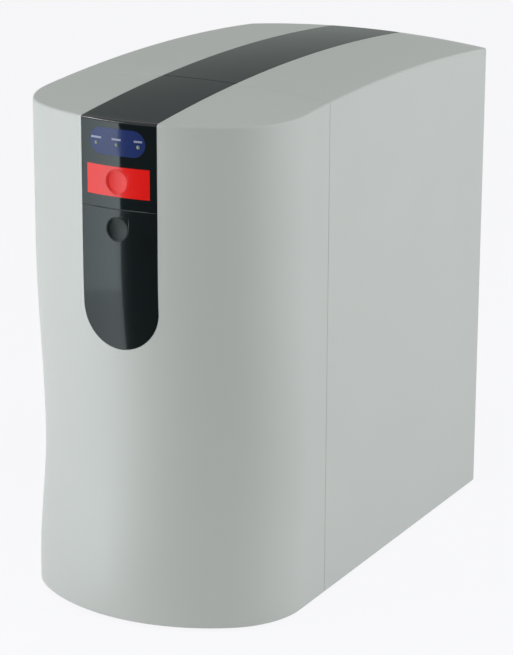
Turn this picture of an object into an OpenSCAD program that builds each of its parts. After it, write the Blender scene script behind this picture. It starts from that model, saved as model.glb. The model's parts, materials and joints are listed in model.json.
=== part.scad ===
// Compact reverse osmosis system: a pull-off front cover and a rear cover over
// twist-in filters, a membrane vessel, a booster pump and a small storage tank.
// Millimetres. The origin is on the floor under the middle of the body,
// the front faces -Y and +Z is up.

/* [Body] */
// Width of the body across its side walls
body_w = 228; // [220:1:264]
// Depth of the body, from the front foot to the rear rim
body_d = 420; // [380:1:460]
// Height of the body at the top of its dome
body_h = 410; // [372:1:450]
// Thickness of the cover walls
wall = 3.2; // [2.8:0.1:4]
// Depth of the front cover, from the front foot to the seam
front_depth = 126; // [110:1:140]
// Open line between the front cover and the rear cover
seam_gap = 0.8; // [0.4:0.1:1.2]
// Height of the rubber feet
foot_h = 2.5; // [2:0.5:5]
// Radius of a rubber foot
foot_r = 11; // [8:1:14]
// Radius of the upright corners at the back
rear_corner_r = 4; // [2:0.5:8]

/* [Front shape] */
// Radius of the wide front curve, seen from above
front_r = 146; // [140:1:170]
// Radius of the curve between the front and the sides
corner_r = 70; // [55:1:80]
// How far the waist draws in behind the upper front
waist_in = 9; // [4:0.5:11]
// Height of the waist
waist_z = 125; // [110:1:140]
// Height where the upper front becomes straight
waist_top = 285; // [265:1:295]
// Height of the straight foot of the front
foot_band = 16; // [12:1:24]
// How far the foot stands in front of the upper front
foot_out = 2; // [1:0.5:4]

/* [Top] */
// Radius of the dome from front to back
arch_r = 2100; // [1800:50:2600]
// Radius of the dome from side to side
crown_r = 1000; // [800:50:1400]

/* [Black strip] */
// Width of the black strip
strip_w = 65; // [60:1:70]
// Depth of the channel that the strip lies in
channel_depth = 1.8; // [1.6:0.1:2.2]
// Gap around pieces of trim
trim_gap = 0.25; // [0.15:0.05:0.4]
// Drop from the top to the round end of the strip
strip_drop = 188; // [178:1:198]
// Drop from the top to the line across the fascia
split_drop = 78; // [75:1:82]
// Width of the round-ended lamp window
window_w = 47.5; // [42:0.5:52]
// Height of the round-ended lamp window
window_h = 20.5; // [18:0.5:22]
// Drop from the top to the middle of the window
window_drop = 27; // [25:1:29]
// Distance between the status lamps
lamp_pitch = 18; // [15:0.5:18.5]
// Diameter of a lamp lens
lamp_d = 3; // [2.4:0.2:3.6]
// Width of the red insert
insert_w = 54; // [48:1:57]
// Height of the red insert
insert_h = 23; // [22:0.5:26]
// Thickness of the red insert
insert_t = 0.8; // [0.6:0.1:1]
// Drop from the top to the middle of the red insert and its button
insert_drop = 57; // [56:0.5:60]

/* [Buttons] */
// Diameter of a round button
button_d = 18.5; // [16:0.5:19.5]
// Travel of a button
button_travel = 2; // [1.5:0.1:2.2]
// Depth of the dish in a button's face
dish_depth = 1.6; // [1:0.1:2]
// Drop from the top to the middle of the lower button
reset_drop = 93.5; // [91:0.5:98]
// Radial play of a button in its bore
button_play = 0.1; // [0.06:0.02:0.2]
// Distance from the upper front to the display board
board_depth = 15; // [14.5:0.5:18]

/* [Chassis] */
// Thickness of the tray floor
floor_t = 3; // [2.5:0.5:4]
// Play between the tray, the back panel and the covers
tray_play = 0.4; // [0.3:0.1:0.6]
// Height of the tray's side lips
lip_h = 12; // [8:1:14]
// Thickness of the tray's side lips
lip_t = 2.5; // [2:0.5:4]
// Depth of the back panel inside the rear rim
panel_recess = 7; // [6.5:0.5:10]
// Thickness of the back panel
panel_t = 3; // [2.5:0.5:4]
// Distance from the front foot to the bulkhead
bay_depth = 202; // [200:1:206]
// Thickness of the bulkhead
bulkhead_t = 3; // [2:0.5:4]

/* [Filters] */
// Diameter of a twist-in cartridge
cartridge_d = 58; // [52:1:60]
// Height of the round bottom of a cartridge
cartridge_z = 56; // [46:1:86]
// Drop from the top to the underside of the filter heads
head_drop = 114; // [112:1:118]
// Distance of the outer cartridges from the inside of the side walls
cartridge_side = 50.8; // [49:0.2:52]
// Distance of the outer cartridges from the bulkhead
outer_back = 104; // [102:0.5:106]
// Distance of the middle cartridge from the bulkhead
middle_back = 142; // [139:0.5:143]
// Radial play of the cartridges in their heads
turn_play = 0.05; // [0.03:0.01:0.08]

/* [Membrane and post filter] */
// Diameter of the membrane vessel
vessel_d = 60; // [56:1:62]
// Wall of the membrane vessel
vessel_wall = 3.5; // [3:0.5:5]
// Diameter of the rolled membrane
membrane_d = 44; // [40:1:46]
// Diameter of the post filter
post_d = 52; // [46:1:56]
// Height of the bottom of the vessel and of the post filter
vessel_z = 46; // [44:1:60]
// Gap between the heads and the top of the vessel and the post filter
vessel_under = 24; // [22:1:50]

/* [Pump] */
// Diameter of the pump motor
motor_d = 58; // [50:1:60]
// Length of the pump motor
motor_len = 79; // [70:1:90]
// Side of the square pump head
pump_side = 62; // [56:1:66]
// Height of the pump head
pump_head_h = 46; // [40:1:50]
// Diameter of the motor shaft
shaft_d = 8; // [6:0.5:9]
// Radial play of the shaft in its bearings
shaft_play = 0.02; // [0.02:0.01:0.04]

/* [Tank] */
// Gap between the tank's band and the plates in front of it and behind it
tank_gap = 11.5; // [9.5:0.5:20]
// Drop from the top to the top of the tank
tank_drop = 90.5; // [86:0.5:110]
// Radius of the flat bottom of the tank
tank_foot_r = 48; // [44:1:52]
// Wall of the tank
tank_wall = 2; // [1.5:0.5:3]

/* [Ports] */
// Diameter of the tube that a port takes
tube_d = 6.35; // [6:0.05:6.5]
// Radial play of a tube in its port
tube_play = 0.075; // [0.06:0.005:0.1]
// Travel of a release collet
collet_travel = 1.3; // [1:0.1:1.5]
// Bend radius of the inner tubing
bend_r = 9.5; // [8:0.5:10]

/* [Hidden] */
$fn = 128;
eps = 0.01;
// Half width, front plane, back plane and seam plane of the body
half_w = body_w / 2;
front_y = -body_d / 2;
back_y = body_d / 2;
seam_y = front_y + front_depth;
upper_y = front_y + foot_out;
inner_w = half_w - wall;
tray_z = foot_h + floor_t;
over = 12;
// The front curve turns by the same angle in steps from side to side
curve_steps = 36;
foot_levels = 6;
waist_levels = 8;
corner_x = half_w - corner_r;
corner_turn = asin(corner_x / (front_r - corner_r));
corner_y = front_y + front_r - (front_r - corner_r) * cos(corner_turn);
step_turn = 180 / curve_steps;
strip_turn = step_turn * ceil(asin((strip_w / 2 + over / 4) / front_r) / step_turn);
// The strip, its window, insert and buttons
glue_gap = 0.2;
strip_t = channel_depth - glue_gap;
split_z = body_h - split_drop;
window_z = body_h - window_drop;
insert_z = body_h - insert_drop;
reset_z = body_h - reset_drop;
button_r = button_d / 2;
button_sites = [insert_z, reset_z];
flange_reach = 1.5;
flange_t = 1.5;
sleeve_t = 2.2;
sleeve_len = 2.2;
sleeve_sink = 0.4;
sleeve_end = upper_y + wall + sleeve_len;
flange_gap = 0.3;
stem_r = 2.5;
switch_h = 4;
switch_side = 6;
board_t = 1.6;
board_y = upper_y + board_depth;
board_w = 56;
board_edge = 14;
plug_w = 16;
plug_h = 8;
plug_t = 6;
post_r = 3;
post_in = 4;
post_low = 8;
post_high = 6;
lamp_play = 0.1;
lamp_xs = [-lamp_pitch, 0, lamp_pitch];
lamp_drop = 2;
lamp_z = window_z - lamp_drop;
// Tongues that carry the front cover in the rear cover
tongue_len = 10;
tongue_t = 2;
tongue_sink = 0.5;
tongue_h = 24;
tongue_rise = 90;
tongue_drop = 110;
tongue_zs = [tongue_rise, body_h - tongue_drop];
// Back panel, bulkhead and the screws of the panel
panel_in = back_y - panel_recess - panel_t;
panel_out = back_y - panel_recess;
bulk_front = front_y + bay_depth;
bulk_back = bulk_front + bulkhead_t;
bulk_drop = 18;
bulk_edge = 4;
bulk_top = body_h - bulk_drop;
bulk_w = inner_w - bulk_edge;
bulk_flange = 12;
bulk_flange_edge = 8;
screw_r = 1.7;
screw_head_r = 3.6;
screw_head_h = 2.2;
screw_play = 0.1;
screw_len = 12;
boss_r = 5;
boss_len = 24;
boss_sink = 1;
boss_x = inner_w - boss_r + boss_sink;
boss_edge = 46;
boss_zs = [boss_edge, body_h / 2, body_h - boss_edge];
vent_w = 3;
vent_h = 46;
vent_pitch = 8;
vent_count = 15;
vent_drop = 110;
vent_z = body_h - vent_drop;
// Filter heads and cartridges
head_z = body_h - head_drop;
cartridge_x = inner_w - cartridge_side;
collar_r = cartridge_d / 2 + 1;
cup_wall = 3.5;
cup_r = collar_r + turn_play + cup_wall;
collar_h = 17.7;
neck_r = 14;
neck_h = 10;
seal_t = 3;
seal_w = 3;
seal_play = 0.05;
head_gap = 0.3;
plate_t = 12;
plate_rim = 1.5;
cup_h = 26;
plate_z = head_z + cup_h;
plate_top = plate_z + plate_t;
neck_z = head_z + collar_h + head_gap;
neck_hole_h = seal_t + neck_h;
outer_y = bulk_front - outer_back;
middle_y = bulk_front - middle_back;
head_sites = [[-cartridge_x, outer_y], [0, middle_y], [cartridge_x, outer_y]];
stub_r = 6;
stub_h = 12;
stub_x = 12;
bar_w = 44;
web_w = 120;
web_d = 26;
web_h = 20;
web_t = 6;
cartridge_round = 12;
rib_count = 16;
rib_h = 26;
rib_w = 2.4;
// Membrane vessel and post filter stand in clips on the bulkhead,
// midway between the pump's shelf and the side walls
vessel_r = vessel_d / 2;
post_r_out = post_d / 2;
shelf_edge = 2;
shelf_w = pump_side + 2 * shelf_edge;
post_x = (shelf_w / 2 + inner_w) / 2;
vessel_x = -post_x;
vessel_back = 36;
vessel_y = bulk_front - vessel_back;
vessel_top = head_z - vessel_under;
vessel_floor = 6;
outlet_x = 12;
cap_t = 8;
cap_h = 20;
cap_wall = 3;
cap_play = 0.15;
cap_rib = 0.6;
cap_stub = 8;
low_stub = 9;
seal_drop = 36;
seal_h = 8;
seal_z = vessel_top - seal_drop;
roll_drop = 12;
pin_r = 8;
pin_drop = 2;
clip_h = 14;
clip_t = 3.4;
clip_play = 0.1;
clip_w = 24;
clip_rise = 44;
clip_drop = 62;
clip_zs = [vessel_z + clip_rise, vessel_top - clip_drop];
// Booster pump on its shelf
pump_back = 50;
pump_y = bulk_front - pump_back;
shelf_z = 98;
shelf_t = 3;
shelf_d = 82;
bush_t = 3;
bush_r = 7;
bush_x = 24;
bush_rises = [12, 44];
bush_zs = [for (rise = bush_rises) shelf_z + rise];
motor_r = motor_d / 2;
motor_z = shelf_z + shelf_t;
motor_wall = 2.5;
shaft_r = shaft_d / 2;
bearing_r = 9;
bearing_t = 6;
bearing_wall = 2.5;
rotor_gap = 7;
rotor_r = motor_r - rotor_gap;
rotor_end = 2;
crank_r = 8;
crank_off = 2;
crank_t = 8;
crank_drop = 14;
pump_cavity_r = 16;
pump_floor = 16;
pump_port_x = 15;
// Solenoid valve at the left, under the feed line
low_z = 22;
loop_rise = 28;
loop_z = plate_top + loop_rise;
port_edge = 20;
port_x = half_w - port_edge;
riser_edge = 10;
riser_x = inner_w - riser_edge;
valve_w = 24;
valve_d = 28;
valve_h = 22;
core_r = 7;
core_wall = 2;
core_len = 30;
plunger_play = 0.05;
plunger_r = core_r - core_wall - plunger_play;
plunger_len = 18;
plunger_travel = 2.5;
coil_w = 26;
coil_h = 26;
// Tank between the bulkhead and the back panel
band_h = 16;
band_t = 3;
tank_r = (panel_in - bulk_back) / 2 - band_t - tank_gap;
tank_y = (bulk_back + panel_in) / 2;
tank_round = tank_r - tank_foot_r;
stand_h = 26;
stand_flare = 10;
stand_wall = 14;
stand_r = tank_foot_r + stand_flare;
tank_z = tray_z + stand_h;
tank_top = body_h - tank_drop;
tank_mid = (tank_z + tank_top) / 2;
band_play = 0.05;
bladder_play = 0.5;
bladder_round = tank_round - tank_wall - bladder_play;
neck_boss_r = 14;
neck_boss_h = 6;
tap_z = tank_top + neck_boss_h;
tap_w = 40;
tap_d = 22;
tap_h = 20;
tap_foot_h = 6;
tap_line_z = tap_z + tap_foot_h + tap_h / 2;
tap_top = tap_z + tap_foot_h + tap_h;
spindle_r = 3;
spindle_play = 0.05;
lever_len = 40;
lever_w = 12;
lever_t = 4;
// Ports through the back panel
inlet_z = 70;
power_in = 8;
feed_port = [-port_x, inlet_z];
drain_port = [vessel_x - outlet_x, low_z];
product_port = [post_x, low_z];
power_site = [port_x - power_in, inlet_z];
tube_r = tube_d / 2;
port_r = tube_r + tube_play;
flange_r = 11;
port_flange_t = 2.5;
shank_r = 8;
shank_len = 18;
port_face = panel_out + port_flange_t;
port_in = panel_in - shank_len - low_stub;
collet_r = 4.65;
collet_play = 0.1;
collet_bore_play = 0.05;
collet_len = 8;
collet_spare = 0.7;
collet_seat = collet_len + collet_travel + collet_spare;
tube_grip = 8;
collet_head_r = 6.2;
collet_head_t = 1.6;
nut_r = 12.5;
nut_t = 5;
nut_play = 0.1;
hole_play = 0.6;
// Pressure switches, control box and leak sensor
switch_rises = [112, 152];
switch_zs = [for (rise = switch_rises) shelf_z + rise];
switch_r = 13;
switch_t = 12;
cap_r = 10;
switch_len = 24;
blade_len = 8;
blade_x = 4;
blade_h = 6;
blade_t = 1;
control_w = 120;
control_d = 50;
control_h = 36;
control_wall = 2;
control_gap = 6;
control_z = plate_z + web_h + control_gap;
lid_t = 2.4;
lid_lip = 3;
control_board_back = 12;
control_board_y = bulk_front - control_board_back;
relay_xs = [-30, -8];
can_xs = [16, 34];
relay_w = 18;
relay_h = 15;
relay_t = 16;
can_r = 6;
sensor_x = 56;
sensor_back = 42;
sensor_y = outer_y + sensor_back;
sensor_r = 13;
sensor_h = 9;
sensor_tip = 4;
// Low-voltage power inlet
inlet_r = 2.8;
inlet_depth = 11;
inlet_pin_r = 1;
// Heights, ends and risers that the tubing follows
run_rise = 4;
run_z = low_z + run_rise;
stub_top = plate_top + stub_h;
pump_low = shelf_z - pump_head_h - low_stub;
cap_top = vessel_top + cap_t + cap_stub;
cap_loop = 12;
cap_loop_z = cap_top + cap_loop;
post_top = vessel_top + cap_stub;
post_loop = 14;
post_loop_z = post_top + post_loop;
vessel_low = vessel_z - low_stub;
feed_riser_back = 45;
feed_riser_y = bulk_back + feed_riser_back;
rear_riser_back = 19;
rear_riser_y = bulk_back + rear_riser_back;
pump_riser_out = 42;
pump_riser_y = pump_y - pump_riser_out;
tap_end = tap_w / 2 + cap_stub;
restrictor_r = 8;
restrictor_len = 50;

// Setback of the front behind its foot at a height
function ease(t) = (1 + cos(180 * min(max(t, 0), 1))) / 2;
function setback(z) =
    z > waist_z
    ? foot_out + waist_in * ease((z - waist_z) / (waist_top - waist_z))
    : (foot_out + waist_in) * ease((waist_z - z) / (waist_z - foot_band));

// Front curve, seen from above, drawn in by an inset
function curve_point(turn, inset) =
    abs(turn) <= corner_turn
    ? [(front_r - inset) * sin(turn), front_y + front_r - (front_r - inset) * cos(turn)]
    : [sign(turn) * corner_x + (corner_r - inset) * sin(turn),
       corner_y - (corner_r - inset) * cos(turn)];
function front_curve(inset, spread = 90) =
    [for (turn = [-spread : step_turn : spread + eps]) curve_point(turn, inset)];
function upper_face(x) = upper_y + front_r - sqrt(front_r * front_r - x * x);

// Heights at which the front is cut, closest where it bends
function front_levels(z0, z1) = concat(
    [z0],
    [for (i = [0 : foot_levels]) foot_band + (waist_z - foot_band) * i / foot_levels],
    [for (i = [1 : waist_levels]) waist_z + (waist_top - waist_z) * i / waist_levels],
    [z1]
);

// Solid behind the waisted front, from z0 to z1 and back to the plane y1,
// or only the part of it that the front curve covers within a spread of its turn
module front_block(inset, dy, z0, z1, y1, spread = 90) {
    levels = front_levels(z0, z1);
    ring = [for (p = front_curve(inset, spread)) [p.x, p.y + dy]];
    n = len(ring) + 2;
    side_x = ring[len(ring) - 1].x;
    points = [
        for (z = levels)
            each concat(
                [for (p = ring) [p.x, p.y + setback(z), z]],
                [[side_x, y1, z], [-side_x, y1, z]]
            )
    ];
    last = len(levels) - 1;
    sides = [
        for (j = [0 : last - 1], i = [0 : n - 1])
            [j * n + i, (j + 1) * n + i, (j + 1) * n + (i + 1) % n, j * n + (i + 1) % n]
    ];
    floor_face = [for (i = [0 : n - 1]) i];
    roof_face = [for (i = [n - 1 : -1 : 0]) last * n + i];
    polyhedron(points, concat([floor_face, roof_face], sides));
}

// Everything below the domed top, lowered by an inset
module dome(inset) {
    reach = 18;
    low = arch_r - body_h - 2 * over;
    translate([0, 0, body_h - arch_r])
        rotate([0, 90, 0])
            rotate([0, 0, 180 - reach / 2])
                rotate_extrude(angle = reach, $fn = 256)
                    intersection() {
                        translate([arch_r - crown_r, 0])
                            circle(crown_r - inset, $fn = 256);
                        translate([low, -half_w - over])
                            square([arch_r - low, body_w + 2 * over]);
                    }
}

// Plain shapes by their corners, ends and radii
module block(x0, x1, y0, y1, z0, z1) {
    translate([x0, y0, z0])
        cube([x1 - x0, y1 - y0, z1 - z0]);
}
module rod_y(x, z, r, y0, y1, sides = $fn) {
    translate([x, y1, z])
        rotate([90, 0, 0])
            cylinder(r = r, h = y1 - y0, $fn = sides);
}
module rod_z(x, y, r, z0, z1) {
    translate([x, y, z0])
        cylinder(r = r, h = z1 - z0);
}
module along_y(y0, y1) {
    translate([0, y1, 0])
        rotate([90, 0, 0])
            linear_extrude(y1 - y0)
                children();
}
// Round-ended upright body about Z, closed top and bottom
module rounded_rod(r, z0, z1, edge) {
    rotate_extrude()
        intersection() {
            union() {
                translate([0, z0])
                    square([r - edge, z1 - z0]);
                translate([0, z0 + edge])
                    square([r, z1 - z0 - 2 * edge]);
                for (z = [z0 + edge, z1 - edge])
                    translate([r - edge, z])
                        circle(edge);
            }
            translate([0, z0])
                square([r, z1 - z0]);
        }
}

// Outline of the black strip, seen from the front
module strip_outline(grow) {
    half = strip_w / 2 + grow;
    end_z = body_h - strip_drop;
    translate([0, end_z + strip_w / 2])
        circle(half);
    translate([-half, end_z + strip_w / 2])
        square([2 * half, strip_drop]);
}
module window_outline(grow) {
    end_x = (window_w - window_h) / 2;
    end_r = window_h / 2 + grow;
    for (x = [-end_x, end_x])
        translate([x, window_z])
            circle(end_r);
    translate([-end_x, window_z - end_r])
        square([2 * end_x, 2 * end_r]);
}
module insert_outline(grow) {
    translate([-insert_w / 2 - grow, insert_z - insert_h / 2 - grow])
        square([insert_w + 2 * grow, insert_h + 2 * grow]);
}
// Outer form of the front cover, or the part of it within a spread of the front curve
module front_form(spread = 90) {
    intersection() {
        front_block(0, 0, foot_h, body_h + over, seam_y - seam_gap / 2, spread);
        dome(0);
    }
}
// Outer skin of the front, cut to an outline seen from the front
module front_skin(depth) {
    intersection() {
        along_y(front_y - over, seam_y + over)
            children();
        difference() {
            front_form(strip_turn);
            intersection() {
                front_block(0, depth, foot_h - over, body_h + over, seam_y + over, strip_turn);
                dome(depth);
            }
        }
    }
}
module button_bores(play) {
    for (z = button_sites)
        rod_y(0, z, button_r + play, front_y - over, sleeve_end + eps);
}

module front_cover() {
    color("lightgrey")
        difference() {
            union() {
                difference() {
                    front_form();
                    intersection() {
                        front_block(wall, 0, foot_h - over, body_h + over, seam_y + over);
                        dome(wall);
                    }
                    front_skin_cut();
                }
                cover_tongues();
                button_sleeves();
                board_posts();
            }
            button_bores(button_play);
            for (x = lamp_xs)
                rod_y(x, lamp_z, lamp_d / 2 + 2 * lamp_play, front_y - over, board_y - 1);
        }
}
// Channel in the front cover for the strip
module front_skin_cut() {
    difference() {
        along_y(front_y - over, seam_y + over)
            strip_outline(trim_gap);
        intersection() {
            front_block(0, channel_depth, foot_h - over, body_h + over, seam_y + 2 * over, strip_turn);
            dome(channel_depth);
        }
    }
}
module cover_tongues() {
    out_x = inner_w - tray_play;
    for (side = [0, 1], z = tongue_zs)
        mirror([side, 0, 0]) {
            block(out_x - tongue_t, out_x, seam_y - 2 * tongue_len, seam_y + tongue_len,
                  z, z + tongue_h);
            block(out_x - eps, inner_w + tongue_sink, seam_y - 2 * tongue_len, seam_y - 2,
                  z, z + tongue_h);
        }
}
module button_sleeves() {
    for (z = button_sites)
        rod_y(0, z, button_r + button_play + sleeve_t, upper_y + wall - sleeve_sink, sleeve_end);
}
module board_posts() {
    for (x = [-board_w / 2 + post_in, board_w / 2 - post_in],
         z = [reset_z - post_low, body_h - board_edge - post_high])
        rod_y(x, z, post_r, upper_face(x) + (wall + channel_depth) / 2, board_y);
}

module rear_outline() {
    y0 = seam_y + seam_gap / 2;
    translate([-half_w, y0])
        square([body_w, back_y - rear_corner_r - y0]);
    translate([-half_w + rear_corner_r, back_y - rear_corner_r - eps])
        square([body_w - 2 * rear_corner_r, rear_corner_r + eps]);
    for (side = [-1, 1])
        translate([side * (half_w - rear_corner_r), back_y - rear_corner_r])
            circle(rear_corner_r);
}
module rear_cover() {
    color("lightgrey")
        difference() {
            union() {
                difference() {
                    intersection() {
                        translate([0, 0, foot_h])
                            linear_extrude(body_h)
                                rear_outline();
                        dome(0);
                    }
                    intersection() {
                        block(-inner_w, inner_w, seam_y - over, back_y + over, -over, body_h);
                        dome(wall);
                    }
                    difference() {
                        block(-strip_w / 2 - trim_gap, strip_w / 2 + trim_gap,
                              seam_y - over, back_y + over, body_h - 4 * over, body_h + over);
                        dome(channel_depth);
                    }
                }
                for (side = [-1, 1], z = boss_zs)
                    rod_y(side * boss_x, z, boss_r, panel_in - boss_len, panel_in);
            }
            for (side = [-1, 1], z = boss_zs)
                rod_y(side * boss_x, z, screw_r + screw_play,
                      panel_in - screw_len - 1, panel_in + eps);
        }
}
module back_panel() {
    color("gainsboro")
        difference() {
            intersection() {
                block(-inner_w + tray_play, inner_w - tray_play, panel_in, panel_out,
                      tray_z, body_h);
                dome(wall + tray_play);
            }
            for (side = [-1, 1], z = boss_zs)
                rod_y(side * boss_x, z, screw_r + screw_play, panel_in - 1, panel_out + 1);
            for (p = [feed_port, drain_port, product_port])
                rod_y(p.x, p.y, shank_r + nut_play, panel_in - 1, panel_out + 1);
            rod_y(power_site.x, power_site.y, shank_r + nut_play, panel_in - 1, panel_out + 1);
            for (i = [0 : vent_count - 1])
                translate([(i - (vent_count - 1) / 2) * vent_pitch - vent_w / 2,
                           panel_in - 1, vent_z - vent_h / 2])
                    cube([vent_w, panel_t + 2, vent_h]);
        }
}
module base_tray() {
    out_x = inner_w - tray_play;
    color("dimgrey")
        union() {
            translate([0, 0, foot_h])
                linear_extrude(floor_t)
                    polygon(concat(front_curve(wall + tray_play),
                                   [[out_x, panel_out], [-out_x, panel_out]]));
            for (side = [0, 1])
                mirror([side, 0, 0])
                    block(out_x - lip_t, out_x, seam_y + 2 * tongue_len, panel_in,
                          tray_z - eps, tray_z + lip_h);
        }
}
module rubber_feet() {
    color("black")
        for (side = [-1, 1], y = [corner_y - foot_r, panel_in - 3 * foot_r])
            translate([side * (half_w - 3 * foot_r), y, 0])
                rounded_foot();
}
module rounded_foot() {
    rotate_extrude()
        polygon([[0, 0], [foot_r - 1, 0], [foot_r, 1], [foot_r, foot_h], [0, foot_h]]);
}
module panel_screws() {
    color("silver")
        for (side = [-1, 1], z = boss_zs)
            difference() {
                union() {
                    rod_y(side * boss_x, z, screw_r, panel_in - screw_len, panel_out + 1);
                    rod_y(side * boss_x, z, screw_head_r, panel_out, panel_out + screw_head_h);
                }
                for (turn = [0, 90])
                    translate([side * boss_x, panel_out + screw_head_h, z])
                        rotate([0, turn, 0])
                            cube([4, 2, 0.9], center = true);
            }
}

// Trim of the black strip
module upper_fascia() {
    color([0.08, 0.09, 0.1])
        difference() {
            front_skin(strip_t)
                intersection() {
                    strip_outline(0);
                    translate([-strip_w, split_z + trim_gap / 2])
                        square([2 * strip_w, strip_drop]);
                }
            along_y(front_y - over, board_y)
                window_outline(trim_gap);
            difference() {
                along_y(front_y - over, board_y)
                    insert_outline(trim_gap);
                front_block(0, insert_t + trim_gap, foot_h, body_h + over, seam_y, strip_turn);
            }
            button_bores(button_play);
        }
}
module lower_fascia() {
    color([0.08, 0.09, 0.1])
        difference() {
            front_skin(strip_t)
                difference() {
                    strip_outline(0);
                    translate([-strip_w, split_z - trim_gap / 2])
                        square([2 * strip_w, strip_drop]);
                }
            button_bores(button_play);
        }
}
module rear_top_strip() {
    color([0.08, 0.09, 0.1])
        difference() {
            intersection() {
                block(-strip_w / 2, strip_w / 2, seam_y + seam_gap / 2, back_y - trim_gap,
                      body_h - 4 * over, body_h + over);
                dome(0);
            }
            dome(strip_t);
        }
}
module lamp_window() {
    color([0.2, 0.27, 0.5])
        difference() {
            front_skin(strip_t)
                window_outline(0);
            for (x = lamp_xs)
                rod_y(x, lamp_z, lamp_d / 2 + lamp_play, front_y - over, board_y);
        }
}
module lamp_lenses() {
    color("darkseagreen")
        for (x = lamp_xs)
            rod_y(x, lamp_z, lamp_d / 2, upper_face(x), board_y);
}
module red_insert() {
    color("red")
        difference() {
            front_skin(insert_t)
                insert_outline(0);
            button_bores(button_play);
        }
}
// Dished cap with a flange behind the sleeve and a stem to the switch
module dished_button(z) {
    ball_r = (button_r * button_r + dish_depth * dish_depth) / (2 * dish_depth);
    flange_y = sleeve_end + flange_gap;
    difference() {
        union() {
            rod_y(0, z, button_r, upper_y, flange_y + flange_t);
            rod_y(0, z, button_r + flange_reach, flange_y, flange_y + flange_t);
            rod_y(0, z, stem_r, flange_y, board_y - switch_h - button_travel - flange_gap);
        }
        translate([0, upper_y - ball_r + dish_depth, z])
            sphere(ball_r);
    }
}
module red_button() {
    color("firebrick")
        dished_button(insert_z);
}
module reset_button() {
    color([0.12, 0.13, 0.14])
        dished_button(reset_z);
}
module display_board() {
    color("darkgreen")
        union() {
            block(-board_w / 2, board_w / 2, board_y, board_y + board_t,
                  reset_z - board_edge, body_h - board_edge);
            for (z = button_sites)
                block(-switch_side / 2, switch_side / 2, board_y - switch_h, board_y + eps,
                      z - switch_side / 2, z + switch_side / 2);
            block(-plug_w / 2, plug_w / 2, board_y + board_t - eps, board_y + board_t + plug_t,
                  split_z - plug_h / 2, split_z + plug_h / 2);
        }
}

// Chassis plate across the middle
module bulkhead() {
    color("silver")
        difference() {
            union() {
                block(-bulk_w, bulk_w, bulk_front, bulk_back, tray_z, bulk_top);
                block(-bulk_w + bulk_flange_edge, bulk_w - bulk_flange_edge,
                      bulk_back - eps, bulk_back + bulk_flange, tray_z, tray_z + bulkhead_t);
            }
            for (p = [[-port_x, loop_z], [vessel_x + outlet_x, low_z], drain_port,
                      [post_x, post_loop_z], product_port])
                rod_y(p.x, p.y, tube_r + hole_play, bulk_front - over, bulk_back + 2 * over);
        }
}

// Filter heads, with the plate and stubs that join them
module filter_manifold() {
    color("whitesmoke")
        difference() {
            union() {
                translate([0, 0, plate_z])
                    linear_extrude(plate_t)
                        manifold_outline();
                for (p = head_sites) {
                    rod_z(p.x, p.y, cup_r, head_z, plate_z + 1);
                    for (x = [-stub_x, stub_x])
                        rod_z(p.x + x, p.y, stub_r, plate_top - 1, plate_top + stub_h);
                }
                block(-web_w / 2, web_w / 2, bulk_front - web_t, bulk_front,
                      plate_z, plate_z + web_h);
            }
            for (p = head_sites) {
                rod_z(p.x, p.y, collar_r + turn_play, head_z - 1, neck_z);
                rod_z(p.x, p.y, neck_r + turn_play, neck_z - 1, neck_z + neck_hole_h);
                rod_z(p.x, p.y, neck_r + seal_w + seal_play, neck_z - eps, neck_z + seal_t);
            }
        }
}
module manifold_outline() {
    for (p = head_sites)
        translate(p)
            circle(cup_r + plate_rim);
    translate([-cartridge_x, outer_y - bar_w / 2])
        square([2 * cartridge_x, bar_w]);
    translate([-bar_w / 2, middle_y])
        square([bar_w, bulk_front - middle_y]);
    translate([-web_w / 2, bulk_front - web_d])
        square([web_w, web_d]);
}
module neck_seals() {
    color("black")
        for (p = head_sites)
            difference() {
                rod_z(p.x, p.y, neck_r + seal_w, neck_z + seal_play, neck_z + seal_t - seal_play);
                rod_z(p.x, p.y, neck_r + turn_play, neck_z - 1, neck_z + seal_t + 1);
            }
}
// Twist-in cartridge with a round bottom, grip ribs, collar and neck
module cartridge(site) {
    r = cartridge_d / 2;
    translate([site.x, site.y, 0]) {
        rounded_rod(r, cartridge_z, head_z + collar_h / 2, cartridge_round);
        rod_z(0, 0, collar_r, head_z, head_z + collar_h);
        rod_z(0, 0, neck_r, head_z + collar_h - 1, neck_z + neck_h);
        for (i = [0 : rib_count - 1])
            rotate([0, 0, 360 * i / rib_count])
                block(r - 3, r + 1, -rib_w / 2, rib_w / 2,
                      cartridge_z + cartridge_round, cartridge_z + cartridge_round + rib_h);
    }
}
module sediment_cartridge() {
    color("white")
        cartridge(head_sites[0]);
}
module carbon_cartridge() {
    color("white")
        cartridge(head_sites[1]);
}
module carbon_block_cartridge() {
    color("white")
        cartridge(head_sites[2]);
}

module membrane_vessel() {
    color("white")
        difference() {
            union() {
                rod_z(vessel_x, vessel_y, vessel_r, vessel_z, vessel_top);
                for (x = [-outlet_x, outlet_x])
                    rod_z(vessel_x + x, vessel_y, stub_r, vessel_z - low_stub, vessel_z + 1);
            }
            rod_z(vessel_x, vessel_y, vessel_r - vessel_wall, vessel_z + vessel_floor, vessel_top + 1);
        }
}
module membrane_cap() {
    color("gainsboro")
        difference() {
            union() {
                rod_z(vessel_x, vessel_y, vessel_r + cap_play + cap_wall,
                      vessel_top - cap_h + cap_t, vessel_top + cap_t);
                rod_z(vessel_x, vessel_y, stub_r, vessel_top, vessel_top + cap_t + cap_stub);
                for (i = [0 : 2 * rib_count - 1])
                    translate([vessel_x, vessel_y, 0])
                        rotate([0, 0, 180 * i / rib_count])
                            block(vessel_r, vessel_r + cap_play + cap_wall + cap_rib, -1, 1,
                                  vessel_top - cap_h + cap_t + 2, vessel_top + cap_t - 2);
            }
            rod_z(vessel_x, vessel_y, vessel_r + cap_play, vessel_top - cap_h, vessel_top);
        }
}
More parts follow.
